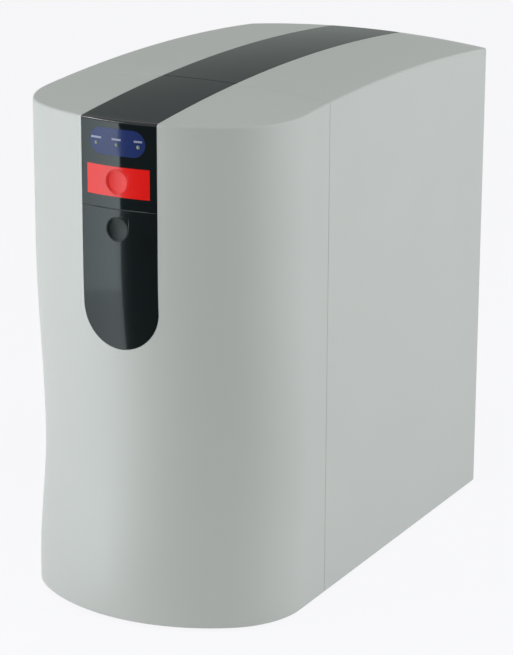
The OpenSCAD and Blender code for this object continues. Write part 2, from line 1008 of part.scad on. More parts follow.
module membrane_roll() {
    color("lightsteelblue") {
        rod_z(vessel_x, vessel_y, membrane_d / 2, vessel_z + vessel_floor, vessel_top - roll_drop);
        rod_z(vessel_x, vessel_y, pin_r, vessel_top - roll_drop - 1, vessel_top - pin_drop);
    }
}
module membrane_seal() {
    color("black")
        difference() {
            rod_z(vessel_x, vessel_y, vessel_r - vessel_wall - seal_play, seal_z, seal_z + seal_h);
            rod_z(vessel_x, vessel_y, membrane_d / 2 + seal_play, seal_z - 1, seal_z + seal_h + 1);
        }
}
module post_filter() {
    color("white")
        translate([post_x, vessel_y, 0]) {
            rounded_rod(post_r_out, vessel_z, vessel_top, cartridge_round);
            rod_z(0, 0, stub_r, vessel_z - low_stub, vessel_top + cap_stub);
        }
}
// Open clips that hold an upright vessel to the bulkhead
module clip(x, r) {
    for (z = clip_zs)
        difference() {
            union() {
                rod_z(x, vessel_y, r + clip_play + clip_t, z, z + clip_h);
                block(x - clip_w / 2, x + clip_w / 2, vessel_y, bulk_front, z, z + clip_h);
            }
            rod_z(x, vessel_y, r + clip_play, z - 1, z + clip_h + 1);
            block(x - 2 * r, x + 2 * r, vessel_y - 2 * r, vessel_y - r / 2, z - 1, z + clip_h + 1);
            block(x - 2 * r, x + 2 * r, bulk_front, bulk_front + r, z - 1, z + clip_h + 1);
        }
}
module vessel_clips() {
    color("dimgrey") {
        clip(vessel_x, vessel_r);
        clip(post_x, post_r_out);
    }
}

// Booster pump: bracket, rubber bushes, motor, rotor, bearings and head
module pump_bracket() {
    flange_y = bulk_front - bush_t;
    color("silver")
        difference() {
            union() {
                block(-shelf_w / 2, shelf_w / 2, flange_y - shelf_d, flange_y,
                      shelf_z, shelf_z + shelf_t);
                block(-shelf_w / 2, shelf_w / 2, flange_y - shelf_t, flange_y,
                      shelf_z, bush_zs[1] + 2 * bush_r);
            }
            rod_z(0, pump_y, bearing_r + bearing_wall, shelf_z - 1, shelf_z + shelf_t + 1);
        }
}
module pump_bushes() {
    color("black")
        for (x = [-bush_x, bush_x], z = bush_zs)
            rod_y(x, z, bush_r, bulk_front - bush_t, bulk_front);
}
module pump_motor() {
    top = motor_z + motor_len;
    color("grey")
        difference() {
            rod_z(0, pump_y, motor_r, motor_z, top);
            difference() {
                rod_z(0, pump_y, motor_r - motor_wall, motor_z + motor_wall, top - motor_wall);
                rod_z(0, pump_y, bearing_r + bearing_wall, motor_z, motor_z + motor_wall + bearing_t);
                rod_z(0, pump_y, bearing_r + bearing_wall, top - motor_wall - bearing_t, top);
            }
            rod_z(0, pump_y, bearing_r + shaft_play, motor_z + motor_wall,
                  motor_z + motor_wall + bearing_t + eps);
            rod_z(0, pump_y, bearing_r + shaft_play, top - motor_wall - bearing_t - eps,
                  top - motor_wall);
            rod_z(0, pump_y, shaft_r + 1, motor_z - 1, motor_z + motor_wall + 1);
        }
}
module pump_bearings() {
    color("silver")
        for (z = [motor_z + motor_wall, motor_z + motor_len - motor_wall - bearing_t])
            difference() {
                rod_z(0, pump_y, bearing_r, z, z + bearing_t);
                rod_z(0, pump_y, shaft_r + shaft_play, z - 1, z + bearing_t + 1);
            }
}
module pump_rotor() {
    low = motor_z + motor_wall + bearing_t + rotor_end;
    high = motor_z + motor_len - motor_wall - bearing_t - rotor_end;
    crank_z = shelf_z - crank_drop;
    color("darkgoldenrod") {
        rod_z(0, pump_y, shaft_r, crank_z - 2, high + bearing_t + 1);
        rod_z(0, pump_y, rotor_r, low, high);
        rod_z(crank_off, pump_y, crank_r, crank_z, crank_z + crank_t);
    }
}
module pump_head() {
    half = pump_side / 2;
    low = shelf_z - pump_head_h;
    color("black")
        difference() {
            union() {
                block(-half, half, pump_y - half, pump_y + half, low, shelf_z);
                for (x = [-pump_port_x, pump_port_x])
                    rod_z(x, pump_y, stub_r, low - low_stub, low + 1);
            }
            rod_z(0, pump_y, pump_cavity_r, low + pump_floor, shelf_z + 1);
        }
}

// Solenoid valve: body with its core tube, coil and plunger
module solenoid_valve() {
    color("white")
        difference() {
            union() {
                block(-port_x - valve_w / 2, -port_x + valve_w / 2, bulk_front - valve_d, bulk_front,
                      loop_z - valve_h / 2, loop_z + valve_h / 2);
                rod_z(-port_x, bulk_front - valve_d / 2, core_r,
                      loop_z - valve_h / 2 - core_len, loop_z);
                rod_y(-port_x, loop_z, stub_r, bulk_front - valve_d - cap_stub, bulk_front - 1);
            }
            rod_z(-port_x, bulk_front - valve_d / 2, core_r - core_wall,
                  loop_z - valve_h / 2 - core_len + core_wall, loop_z - valve_h / 4);
        }
}
module solenoid_coil() {
    half = coil_w / 2;
    mid = bulk_front - valve_d / 2;
    top = loop_z - valve_h / 2;
    color("black")
        difference() {
            block(-port_x - half, -port_x + half, mid - half, mid + half, top - coil_h, top);
            rod_z(-port_x, mid, core_r + clip_play, top - coil_h - 1, top + 1);
        }
}
module solenoid_plunger() {
    low = loop_z - valve_h / 2 - core_len + core_wall + head_gap;
    color("silver")
        rod_z(-port_x, bulk_front - valve_d / 2, plunger_r, low, low + plunger_len);
}
module pressure_switches() {
    color("black")
        for (z = switch_zs)
            union() {
                rod_y(0, z, switch_r, bulk_front - switch_t, bulk_front);
                rod_y(0, z, cap_r, bulk_front - switch_len, bulk_front - switch_t + 1);
                for (x = [-blade_x, blade_x])
                    block(x - blade_t / 2, x + blade_t / 2, bulk_front - switch_len - blade_len,
                          bulk_front - switch_len + 1, z - blade_h / 2, z + blade_h / 2);
            }
}

// Control box with its lid and board
module control_box() {
    color("dimgrey")
        difference() {
            block(-control_w / 2, control_w / 2, bulk_front - control_d, bulk_front,
                  control_z, control_z + control_h);
            block(-control_w / 2 + control_wall, control_w / 2 - control_wall,
                  bulk_front - control_d - 1, bulk_front - control_wall,
                  control_z + control_wall, control_z + control_h - control_wall);
        }
}
module control_lid() {
    face = bulk_front - control_d;
    lip_in = control_wall + tray_play;
    color("grey")
        union() {
            block(-control_w / 2, control_w / 2, face - lid_t, face, control_z, control_z + control_h);
            block(-control_w / 2 + lip_in, control_w / 2 - lip_in, face - eps, face + lid_lip,
                  control_z + lip_in, control_z + lip_in + control_wall);
        }
}
module control_board() {
    y0 = control_board_y;
    edge = control_wall + 2;
    mid_z = control_z + control_h / 2;
    color("darkgreen")
        union() {
            block(-control_w / 2 + edge, control_w / 2 - edge, y0, y0 + board_t,
                  control_z + edge, control_z + control_h - edge);
            for (x = [-control_w / 2 + 3 * edge, control_w / 2 - 3 * edge],
                 z = [control_z + 2 * edge, control_z + control_h - 2 * edge])
                rod_y(x, z, post_r, y0 + board_t - eps, bulk_front - control_wall);
            for (x = relay_xs)
                block(x - relay_w / 2, x + relay_w / 2, y0 - relay_t, y0 + eps,
                      mid_z - relay_h / 2, mid_z + relay_h / 2);
            for (x = can_xs)
                rod_y(x, mid_z, can_r, y0 - relay_t, y0 + eps);
        }
}
module leak_sensor() {
    color("white")
        union() {
            rod_z(sensor_x, sensor_y, sensor_r, tray_z, tray_z + sensor_h);
            rod_z(sensor_x, sensor_y, sensor_r / 2, tray_z + sensor_h - 1, tray_z + sensor_h + sensor_tip);
        }
}

// Storage tank in two steel halves, with band, bladder, stand and tap
module tank_shape(inset) {
    translate([0, tank_y, 0])
        rounded_rod(tank_r - inset, tank_z + inset, tank_top - inset, tank_round - inset);
}
module tank_half(low, high) {
    difference() {
        intersection() {
            tank_shape(0);
            rod_z(0, tank_y, tank_r + 1, low, high);
        }
        tank_shape(tank_wall);
    }
}
module tank_lower_shell() {
    color("lightblue")
        tank_half(tank_z, tank_mid);
}
module tank_upper_shell() {
    color("lightblue") {
        tank_half(tank_mid, tank_top);
        rod_z(0, tank_y, neck_boss_r, tank_top - tank_wall, tap_z);
    }
}
module tank_band() {
    color("silver")
        difference() {
            rod_z(0, tank_y, tank_r + band_play + band_t, tank_mid - band_h / 2, tank_mid + band_h / 2);
            rod_z(0, tank_y, tank_r + band_play, tank_mid - band_h, tank_mid + band_h);
        }
}
module tank_bladder() {
    color("black")
        translate([0, tank_y, 0])
            rounded_rod(tank_r - tank_wall - bladder_play, tank_mid - band_h,
                        tank_top - tank_wall - bladder_play, bladder_round);
}
module tank_stand() {
    color("black")
        difference() {
            rod_z(0, tank_y, stand_r, tray_z, tank_z);
            rod_z(0, tank_y, stand_r - stand_wall, tray_z - 1, tank_z + 1);
        }
}
module tank_tap() {
    color("gainsboro")
        difference() {
            union() {
                rod_z(0, tank_y, neck_boss_r - 2, tap_z, tap_z + tap_foot_h + 1);
                block(-tap_w / 2, tap_w / 2, tank_y - tap_d / 2, tank_y + tap_d / 2,
                      tap_z + tap_foot_h, tap_top);
                translate([-tap_w / 2 - cap_stub, tank_y, tap_line_z])
                    rotate([0, 90, 0])
                        cylinder(r = stub_r, h = tap_w + 2 * cap_stub);
            }
            rod_z(0, tank_y, spindle_r + spindle_play, tap_line_z, tap_top + 1);
        }
}
module tank_tap_lever() {
    low = tap_top + head_gap;
    color("royalblue")
        union() {
            rod_z(0, tank_y, spindle_r, tap_line_z + head_gap, low + lever_t);
            rod_z(0, tank_y, lever_w / 2, low, low + lever_t);
            block(0, lever_len, tank_y - lever_w / 2 + 1, tank_y + lever_w / 2 - 1, low, low + lever_t);
            rod_z(lever_len, tank_y, lever_w / 2 - 1, low, low + lever_t);
        }
}

// Push-in ports through the back panel
module port(site) {
    difference() {
        union() {
            rod_y(site.x, site.y, flange_r, panel_out, port_face);
            rod_y(site.x, site.y, shank_r, panel_in - shank_len, panel_out + eps);
            rod_y(site.x, site.y, stub_r, port_in, panel_in - shank_len + 1);
        }
        rod_y(site.x, site.y, collet_r + collet_play, port_face - collet_seat, port_face + 1);
        rod_y(site.x, site.y, port_r, port_face - collet_seat - tube_grip, port_face + 1);
    }
}
module collet(site) {
    head_y = port_face + collet_travel + head_gap;
    difference() {
        union() {
            rod_y(site.x, site.y, collet_r, port_face - collet_len, head_y + collet_head_t);
            rod_y(site.x, site.y, collet_head_r, head_y, head_y + collet_head_t);
        }
        rod_y(site.x, site.y, port_r + collet_bore_play, port_face - collet_len - 1,
              head_y + collet_head_t + 1);
    }
}
module feed_port() {
    color("white")
        port(feed_port);
}
module drain_port() {
    color("white")
        port(drain_port);
}
module product_port() {
    color("white")
        port(product_port);
}
module port_nuts() {
    color("white")
        for (p = [feed_port, drain_port, product_port, power_site])
            difference() {
                rod_y(p.x, p.y, nut_r, panel_in - nut_t, panel_in, 6);
                rod_y(p.x, p.y, shank_r + nut_play, panel_in - nut_t - 1, panel_in + 1);
            }
}
module feed_collet() {
    color("royalblue")
        collet(feed_port);
}
module drain_collet() {
    color("grey")
        collet(drain_port);
}
module product_collet() {
    color("white")
        collet(product_port);
}
module power_inlet() {
    color("black")
        union() {
            difference() {
                union() {
                    rod_y(power_site.x, power_site.y, flange_r, panel_out, port_face);
                    rod_y(power_site.x, power_site.y, shank_r, panel_in - shank_len, panel_out + eps);
                }
                rod_y(power_site.x, power_site.y, inlet_r, port_face - inlet_depth, port_face + 1);
            }
            rod_y(power_site.x, power_site.y, inlet_pin_r, port_face - inlet_depth - 1, port_face - 2);
        }
}

// Tubing: straight lengths joined by bends, along the axes
module straight(a, b) {
    d = b - a;
    turn = d.x != 0 ? [0, 90 * sign(d.x), 0]
         : d.y != 0 ? [-90 * sign(d.y), 0, 0]
         : [90 - 90 * sign(d.z), 0, 0];
    translate(a)
        rotate(turn)
            cylinder(r = tube_r, h = norm(d));
}
module bend(p, u, v) {
    c = p - bend_r * u + bend_r * v;
    n = cross(u, v);
    multmatrix([[-v.x, u.x, n.x, c.x], [-v.y, u.y, n.y, c.y], [-v.z, u.z, n.z, c.z], [0, 0, 0, 1]])
        rotate_extrude(angle = 90)
            translate([bend_r, 0])
                circle(tube_r);
}
function way(a, b) = (b - a) / norm(b - a);
module tube(points) {
    last = len(points) - 1;
    for (i = [0 : last - 1]) {
        d = way(points[i], points[i + 1]);
        straight(points[i] + (i == 0 ? 0 : bend_r) * d,
                 points[i + 1] - (i == last - 1 ? 0 : bend_r) * d);
    }
    for (i = [1 : last - 1])
        bend(points[i], way(points[i - 1], points[i]), way(points[i], points[i + 1]));
}
module feed_tubing() {
    head = [for (p = head_sites, x = [-stub_x, stub_x]) [p.x + x, p.y]];
    color("white") {
        tube([[-port_x, port_in, feed_port.y], [-port_x, feed_riser_y, feed_port.y],
              [-port_x, feed_riser_y, loop_z], [-port_x, bulk_front, loop_z]]);
        tube([[-port_x, bulk_front - valve_d - cap_stub, loop_z], [-port_x, outer_y, loop_z],
              [head[0].x, outer_y, loop_z], [head[0].x, outer_y, stub_top]]);
        tube([[head[1].x, outer_y, stub_top], [head[1].x, outer_y, loop_z],
              [head[1].x, middle_y, loop_z], [head[2].x, middle_y, loop_z],
              [head[2].x, middle_y, stub_top]]);
        tube([[head[3].x, middle_y, stub_top], [head[3].x, middle_y, loop_z],
              [head[4].x, middle_y, loop_z], [head[4].x, outer_y, loop_z],
              [head[4].x, outer_y, stub_top]]);
        tube([[head[5].x, outer_y, stub_top], [head[5].x, outer_y, loop_z],
              [riser_x, outer_y, loop_z], [riser_x, outer_y, run_z],
              [pump_port_x, outer_y, run_z], [pump_port_x, pump_y, run_z],
              [pump_port_x, pump_y, pump_low]]);
        tube([[-pump_port_x, pump_y, pump_low], [-pump_port_x, pump_y, run_z],
              [-pump_port_x, pump_riser_y, run_z], [-pump_port_x, pump_riser_y, cap_loop_z],
              [-pump_port_x, vessel_y, cap_loop_z], [vessel_x, vessel_y, cap_loop_z],
              [vessel_x, vessel_y, cap_top]]);
    }
}
module permeate_tubing() {
    out_x = vessel_x + outlet_x;
    color("white") {
        tube([[out_x, vessel_y, vessel_low], [out_x, vessel_y, low_z], [out_x, rear_riser_y, low_z],
              [out_x, rear_riser_y, tap_line_z], [out_x, tank_y, tap_line_z],
              [-tap_end, tank_y, tap_line_z]]);
        tube([[tap_end, tank_y, tap_line_z], [post_x, tank_y, tap_line_z],
              [post_x, rear_riser_y, tap_line_z], [post_x, rear_riser_y, post_loop_z],
              [post_x, vessel_y, post_loop_z], [post_x, vessel_y, post_top]]);
        tube([[post_x, vessel_y, vessel_low], [post_x, vessel_y, low_z], [post_x, port_in, low_z]]);
    }
}
module drain_tubing() {
    x = drain_port.x;
    color("white")
        tube([[x, vessel_y, vessel_low], [x, vessel_y, low_z], [x, port_in, low_z]]);
}
module flow_restrictor() {
    color("royalblue")
        difference() {
            rod_y(drain_port.x, low_z, restrictor_r, rear_riser_y, rear_riser_y + restrictor_len);
            rod_y(drain_port.x, low_z, tube_r + seal_play, rear_riser_y - 1,
                  rear_riser_y + restrictor_len + 1);
        }
}

front_cover();
rear_cover();
back_panel();
base_tray();
rubber_feet();
panel_screws();
upper_fascia();
lower_fascia();
rear_top_strip();
lamp_window();
lamp_lenses();
red_insert();
red_button();
reset_button();
display_board();
bulkhead();
filter_manifold();
neck_seals();
sediment_cartridge();
carbon_cartridge();
carbon_block_cartridge();
membrane_vessel();
membrane_cap();
membrane_roll();
membrane_seal();
post_filter();
vessel_clips();
pump_bracket();
pump_bushes();
pump_motor();
pump_rotor();
pump_bearings();
pump_head();
solenoid_valve();
solenoid_coil();
solenoid_plunger();
pressure_switches();
control_box();
control_lid();
control_board();
leak_sensor();
tank_upper_shell();
tank_lower_shell();
tank_band();
tank_bladder();
tank_stand();
tank_tap();
tank_tap_lever();
feed_port();
drain_port();
product_port();
port_nuts();
feed_collet();
drain_collet();
product_collet();
power_inlet();
feed_tubing();
permeate_tubing();
drain_tubing();
flow_restrictor();
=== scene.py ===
"""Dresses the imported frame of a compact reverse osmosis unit: covers, strip, filters, pump and tank."""

import json
import math

import bmesh
import bpy
from bpy.props import FloatProperty, FloatVectorProperty, PointerProperty
from mathutils import Matrix, Vector

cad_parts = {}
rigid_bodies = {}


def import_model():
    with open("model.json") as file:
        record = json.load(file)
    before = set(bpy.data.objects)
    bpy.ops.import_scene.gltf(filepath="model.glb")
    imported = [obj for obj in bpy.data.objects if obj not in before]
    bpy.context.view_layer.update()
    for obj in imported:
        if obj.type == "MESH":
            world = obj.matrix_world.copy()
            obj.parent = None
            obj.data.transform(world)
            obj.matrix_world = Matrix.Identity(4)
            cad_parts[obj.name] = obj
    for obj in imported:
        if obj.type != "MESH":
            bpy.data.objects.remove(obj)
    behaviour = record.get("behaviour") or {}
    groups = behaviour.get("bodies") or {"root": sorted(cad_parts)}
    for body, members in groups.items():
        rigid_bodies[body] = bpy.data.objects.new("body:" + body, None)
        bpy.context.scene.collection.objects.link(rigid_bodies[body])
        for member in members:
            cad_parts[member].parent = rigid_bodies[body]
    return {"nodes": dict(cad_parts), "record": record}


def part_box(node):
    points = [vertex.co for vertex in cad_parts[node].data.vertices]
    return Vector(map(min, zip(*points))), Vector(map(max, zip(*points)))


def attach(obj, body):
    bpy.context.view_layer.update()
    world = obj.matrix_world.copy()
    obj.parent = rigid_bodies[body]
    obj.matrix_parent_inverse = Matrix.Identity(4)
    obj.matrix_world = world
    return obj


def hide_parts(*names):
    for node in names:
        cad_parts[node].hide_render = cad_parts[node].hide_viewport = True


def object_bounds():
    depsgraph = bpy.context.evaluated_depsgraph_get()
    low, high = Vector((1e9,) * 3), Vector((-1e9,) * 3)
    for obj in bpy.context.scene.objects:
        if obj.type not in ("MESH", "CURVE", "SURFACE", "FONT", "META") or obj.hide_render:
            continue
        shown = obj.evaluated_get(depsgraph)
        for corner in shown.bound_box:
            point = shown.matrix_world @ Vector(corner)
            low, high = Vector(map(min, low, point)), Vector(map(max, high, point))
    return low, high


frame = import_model()
CAD_BOX = [list(corner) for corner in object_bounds()]

bl_info = {
    "name": "Reverse osmosis unit",
    "version": (1, 0, 0),
    "blender": (4, 5, 0),
    "location": "View3D > Sidebar > Osmosis",
    "description": "Covers, control strip, filters, pump and tank of a compact reverse osmosis unit",
    "category": "Object",
}

UP = Vector((0, 0, 1))
BACK = Vector((0, 1, 0))
SIDE = Vector((1, 0, 0))
TINY = 1e-6
NEAR = 10 * TINY
# Steps of the round forms
CORNER_STEPS = 16
FRONT_STEPS = 61
FOOT_STEPS = 10
WAIST_STEPS = 14
ROOF_STEPS = 6
REAR_STEPS = 16
CROWN_STEPS = 16
EDGE_STEPS = 8
RIM_STEPS = 2
LATHE_STEPS = 72
DISC_STEPS = 48
STRIP_END_STEPS = 40
WINDOW_END_STEPS = 20
FINE_STEPS = 24
CARD_STEPS = 12


def length(name, description, default):
    """A length in metres that a user may change."""
    return FloatProperty(name=name, description=description, default=default, unit="LENGTH", precision=5)


def colour(name, description, default):
    """A linear colour that a user may change."""
    return FloatVectorProperty(
        name=name, description=description, default=default, subtype="COLOR", min=0, max=1
    )


def power(name, description, default):
    """A lamp's power in watts."""
    return FloatProperty(name=name, description=description, default=default, unit="POWER")


class CoverSizes(bpy.types.PropertyGroup):
    """Sizes of the two covers."""

    width: length("Width", "Across the side walls", CAD_BOX[1][0] - CAD_BOX[0][0])
    front: length("Front", "Place of the front foot along Y", CAD_BOX[0][1])
    back: length("Back", "Place of the rear rim along Y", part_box("rear_cover")[1].y)
    seam: length("Seam", "Place of the rear cover's seam edge along Y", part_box("rear_cover")[0].y)
    seam_gap: length("Seam gap", "Open line between the covers", 0.0004)
    base: length("Base", "Height of the covers' lower rims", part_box("rear_cover")[0].z)
    height: length("Height", "Height at the top of the dome", 0.41)
    wall: length("Wall", "Thickness of the covers", 0.0032)
    edge_r: length("Edge round", "Round between the walls and the roof", 0.002)
    rim_r: length("Rim round", "Round of the open rims", 0.0004)
    front_r: length("Front radius", "Wide curve of the front, seen from above", 0.146)
    corner_r: length("Corner radius", "Curve between the front and the sides", 0.07)
    waist_in: length("Waist", "How far the waist draws in behind the upper front", 0.009)
    waist_z: length("Waist height", "Height of the waist", 0.125)
    waist_top: length("Waist top", "Height where the upper front becomes straight", 0.285)
    foot_band: length("Foot band", "Height of the straight foot", 0.016)
    foot_out: length("Foot", "How far the foot stands in front of the upper front", 0.002)
    arch_r: length("Arch radius", "Dome from front to back", 2.1)
    crown_r: length("Crown radius", "Dome from side to side", 1.0)


class StripSizes(bpy.types.PropertyGroup):
    """Sizes of the black strip and what sits in it."""

    width: length("Width", "Width of the strip", 0.065)
    channel: length("Channel", "Depth of the channel in the covers", 0.0018)
    gap: length("Gap", "Gap around pieces of trim", 0.00025)
    thick: length("Thickness", "Thickness of the strip", 0.0016)
    edge_r: length("Front edge", "Round where the strip turns from the roof to the front", 0.003)
    soft_r: length("Trim slope", "Width of the slope along the trim's edges", 0.0003)
    hole_r: length("Hole slope", "Width of the slope round a button's hole", 0.0002)
    flush_gap: length("Flush gap", "Gap around the window and the insert", 0.00005)
    end_z: length("Lower end", "Height of the round lower end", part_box("lower_fascia")[0].z)
    split_z: length("Split", "Height of the line across the strip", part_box("upper_fascia")[0].z)
    window_w: length("Window width", "Width of the lamp window", 0.0475)
    window_h: length("Window height", "Height of the lamp window", 0.0205)
    window_z: length("Window", "Height of the window's middle", 0.383)
    insert_w: length("Insert width", "Width of the red insert", 0.054)
    insert_h: length("Insert height", "Height of the red insert", 0.023)
    insert_z: length("Insert", "Height of the red insert's middle", 0.353)
    button_r: length("Button", "Radius of a round button", 0.00925)
    button_play: length("Button play", "Gap around a button", 0.00015)
    dish: length("Dish", "Depth of the dish in a button", 0.0008)


class FinishColours(bpy.types.PropertyGroup):
    """Main colours, linear."""

    shell: colour("Shell", "Satin grey covers", (0.590, 0.626, 0.608))
    strip: colour("Strip", "Glossy black strip", (0.009, 0.0135, 0.0145))
    insert: colour("Insert", "Red insert and button", (0.88, 0.012, 0.010))
    window: colour("Window", "Blue lamp window", (0.022, 0.038, 0.15))
    lens: colour("Lens", "Lamp lenses", (0.17, 0.22, 0.17))
    tank: colour("Tank", "Painted tank", (0.50, 0.62, 0.70))
    dashes: colour("Dashes", "Dashes over the lamps", (0.29, 0.32, 0.46))


class StageSettings(bpy.types.PropertyGroup):
    """Light of the stage."""

    ambient: FloatProperty(
        name="Ambient", description="Strength of the light from all round", default=0.375, min=0
    )
    key_power: power("Key", "Power of the front left panel", 5.35)
    right_power: power("Right", "Power of the right panel", 11.8)


def cover():
    return bpy.context.scene.osmosis_cover


def strip():
    return bpy.context.scene.osmosis_strip


# Form of the covers


def ease(t):
    """1 at t = 0, falling smoothly to 0 at t = 1."""
    return (1 + math.cos(math.pi * min(max(t, 0), 1))) / 2


def setback(z):
    """How far the front lies behind its foot at a height."""
    c = cover()
    if z > c.waist_z:
        return c.foot_out + c.waist_in * ease((z - c.waist_z) / (c.waist_top - c.waist_z))
    return (c.foot_out + c.waist_in) * ease((c.waist_z - z) / (c.waist_z - c.foot_band))


def dome_z(x, y, inset=0.0):
    """Height of the domed roof, or of its inside."""
    c = cover()
    across = c.arch_r - c.crown_r + math.sqrt((c.crown_r - inset) ** 2 - x * x)
    return c.height - c.arch_r + math.sqrt(across * across - y * y)


def front_lean():
    """Half the angle of the wide front curve, and the place along Y of the corner curves' centres."""
    c = cover()
    reach = c.front_r - c.corner_r
    lean = math.asin((c.width / 2 - c.corner_r) / reach)
    return lean, c.front + c.front_r - reach * math.cos(lean)


def outward(place):
    """Direction in which the upper front faces at a place, seen from above."""
    c = cover()
    lean, corner_y = front_lean()
    away = Vector((place.x, place.y - c.front - c.front_r - c.foot_out, 0))
    if abs(math.atan2(away.x, -away.y)) <= lean:
        return away.normalized()
    side = math.copysign(1, place.x)
    away = Vector((place.x - side * (c.width / 2 - c.corner_r), place.y - corner_y - c.foot_out, 0))
    return SIDE * side if away.y >= 0 else away.normalized()


# Modelling steps


def of_kind(geometry, kind):
    return [g for g in geometry if isinstance(g, kind)]


def verts_in(geometry):
    return of_kind(geometry, bmesh.types.BMVert)


def edges_in(geometry):
    return of_kind(geometry, bmesh.types.BMEdge)


def faces_in(geometry):
    return of_kind(geometry, bmesh.types.BMFace)


def run_to(bm, vert, place, steps=1):
    """Draws a chain on to a place in even steps and returns its new end."""
    start = vert.co.copy()
    for step in range(1, steps + 1):
        vert = bmesh.ops.extrude_vert_indiv(bm, verts=[vert])["verts"][0]
        vert.co = start.lerp(Vector(place), step / steps)
    return vert


def turn_about(bm, vert, centre, axis, angle, steps):
    """Draws a chain on round a centre and returns its new end."""
    spun = bmesh.ops.spin(bm, geom=[vert], cent=centre, axis=axis, angle=angle, steps=steps)
    return verts_in(spun["geom_last"])[0]


def extrude(bm, edges):
    """Extrudes edges and returns their new vertices and edges."""
    grown = bmesh.ops.extrude_edge_only(bm, edges=edges)["geom"]
    verts = set(verts_in(grown))
    return verts, [e for e in edges_in(grown) if verts.issuperset(e.verts)]


def sweep(bm, edges, place):
    """Extrudes edges, puts each new vertex where place() says, and returns the new edges."""
    verts, rim = extrude(bm, edges)
    for vert in verts:
        vert.co = place(vert.co)
    return rim


def cut(bm, place, normal, faces=None, clear=False):
    """Cuts faces, or else all of them, with a plane and returns those that lie behind it."""
    faces = bm.faces if faces is None else faces
    geometry = {g for f in faces for g in (f, *f.edges, *f.verts)}
    made = bmesh.ops.bisect_plane(
        bm, geom=list(geometry), dist=1e-7, plane_co=place, plane_no=normal, clear_outer=clear
    )
    place = Vector(place)
    return [f for f in faces_in(made["geom"]) if (f.calc_center_median() - place).dot(normal) < 0]


def carve(bm, outline):
    """Cuts a skin along a convex outline, seen from the front, and returns the faces inside it."""
    xs = [x for x, z in outline]
    zs = [z for x, z in outline]
    box = [(min(xs), min(zs)), (max(xs), min(zs)), (max(xs), max(zs)), (min(xs), max(zs))]
    faces = bm.faces[:]
    for ring in (box, outline):
        for (x0, z0), (x1, z1) in zip(ring, ring[1:] + ring[:1]):
            faces = cut(bm, (x0, 0, z0), Vector((z1 - z0, 0, x0 - x1)).normalized(), faces)
    return faces


def keep(bm, faces):
    """Deletes every other face."""
    kept = set(faces)
    bmesh.ops.delete(bm, geom=[f for f in bm.faces if f not in kept], context="FACES")


def drop(bm, faces):
    bmesh.ops.delete(bm, geom=faces, context="FACES")


def merge(bm, reach=TINY):
    """Merges vertices that lie together."""
    bmesh.ops.remove_doubles(bm, verts=bm.verts[:], dist=reach)


def turn_outwards(bm):
    """Points a closed shape's faces outwards."""
    bmesh.ops.recalc_face_normals(bm, faces=bm.faces[:])


def face_out(bm):
    """Points a skin's faces outwards: its highest face looks up."""
    turn_outwards(bm)
    highest = max(bm.faces, key=lambda f: f.calc_center_median().z)
    if highest.normal.z < 0:
        bmesh.ops.reverse_faces(bm, faces=bm.faces[:])


def quarter_round(radius, steps):
    """Steps of a quarter round: how far each goes on, and how far it turns in."""
    for step in range(steps):
        before, after = (math.pi / 2 * s / steps for s in (step, step + 1))
        yield radius * (math.sin(after) - math.sin(before)), radius * (math.cos(before) - math.cos(after))


def turn_in(bm, edges, way, radius, held):
    """Rounds an open rim: carries its edges along a way as they turn in, but not across held planes."""
    bm.normal_update()
    normals = {v: v.normal - way * v.normal.dot(way) for e in edges for v in e.verts}
    for vert, normal in normals.items():
        for axis, value, reach in held:
            if abs(vert.co[axis] - value) < reach:
                normal[axis] = 0
    for on, turn in quarter_round(radius, RIM_STEPS):
        verts, edges = extrude(bm, edges)
        for vert in verts:
            old = next(v for e in vert.link_edges for v in e.verts if v in normals and v not in verts)
            normals[vert] = normals[old]
            vert.co += way * on - normals[vert] * turn


def open_edges(bm):
    return [e for e in bm.edges if e.is_boundary]


def open_rim(bm):
    """Vertices along the open edges."""
    return {v for e in open_edges(bm) for v in e.verts}


def round_rims(bm, rims):
    """Rounds the open rims in turn, each given by its axis, its final place, the way out and the radius."""
    held = []
    for axis, edge, sign, radius in rims:
        way = Vector([sign * (i == axis) for i in range(3)])
        plane = (axis, edge - sign * radius)
        for vert in open_rim(bm):
            if abs(vert.co[axis] - plane[1]) < radius / 2:
                vert.co[axis] = plane[1]
        rim = [e for e in open_edges(bm) if on_plane(e, plane)]
        turn_in(bm, rim, way, radius, held)
        held.append((axis, edge, radius + NEAR))


def on_plane(element, plane):
    axis, value = plane
    return all(abs(v.co[axis] - value) < NEAR for v in element.verts)


def close_shell(bm, inner, planes):
    """Joins an inner skin to an outer one with flat rims in the given planes."""
    outside = set(bm.verts)
    mesh = bpy.data.meshes.new("inner skin")
    inner.to_mesh(mesh)
    inner.free()
    bm.from_mesh(mesh)
    bpy.data.meshes.remove(mesh)
    edges = open_edges(bm)
    corners = {}
    for vert in open_rim(bm):
        met = [p for p in planes if abs(vert.co[p[0]] - p[1]) < NEAR]
        if len(met) > 1:
            corners.setdefault((*met, vert.co.x > 0), []).append(vert)
    for verts in corners.values():
        outer_vert = next(v for v in verts if v in outside)
        inner_vert = next(v for v in verts if v not in outside)
        edges.append(bm.edges.new((outer_vert, inner_vert)))
    for plane in planes:
        rim = [e for e in edges if on_plane(e, plane)]
        bmesh.ops.triangle_fill(bm, edges=rim, use_beauty=True)
    turn_outwards(bm)


def thicken(bm, depth):
    """Gives a sheet its thickness, behind its outer faces."""
    bmesh.ops.solidify(bm, geom=bm.faces[:], thickness=depth)
    turn_outwards(bm)


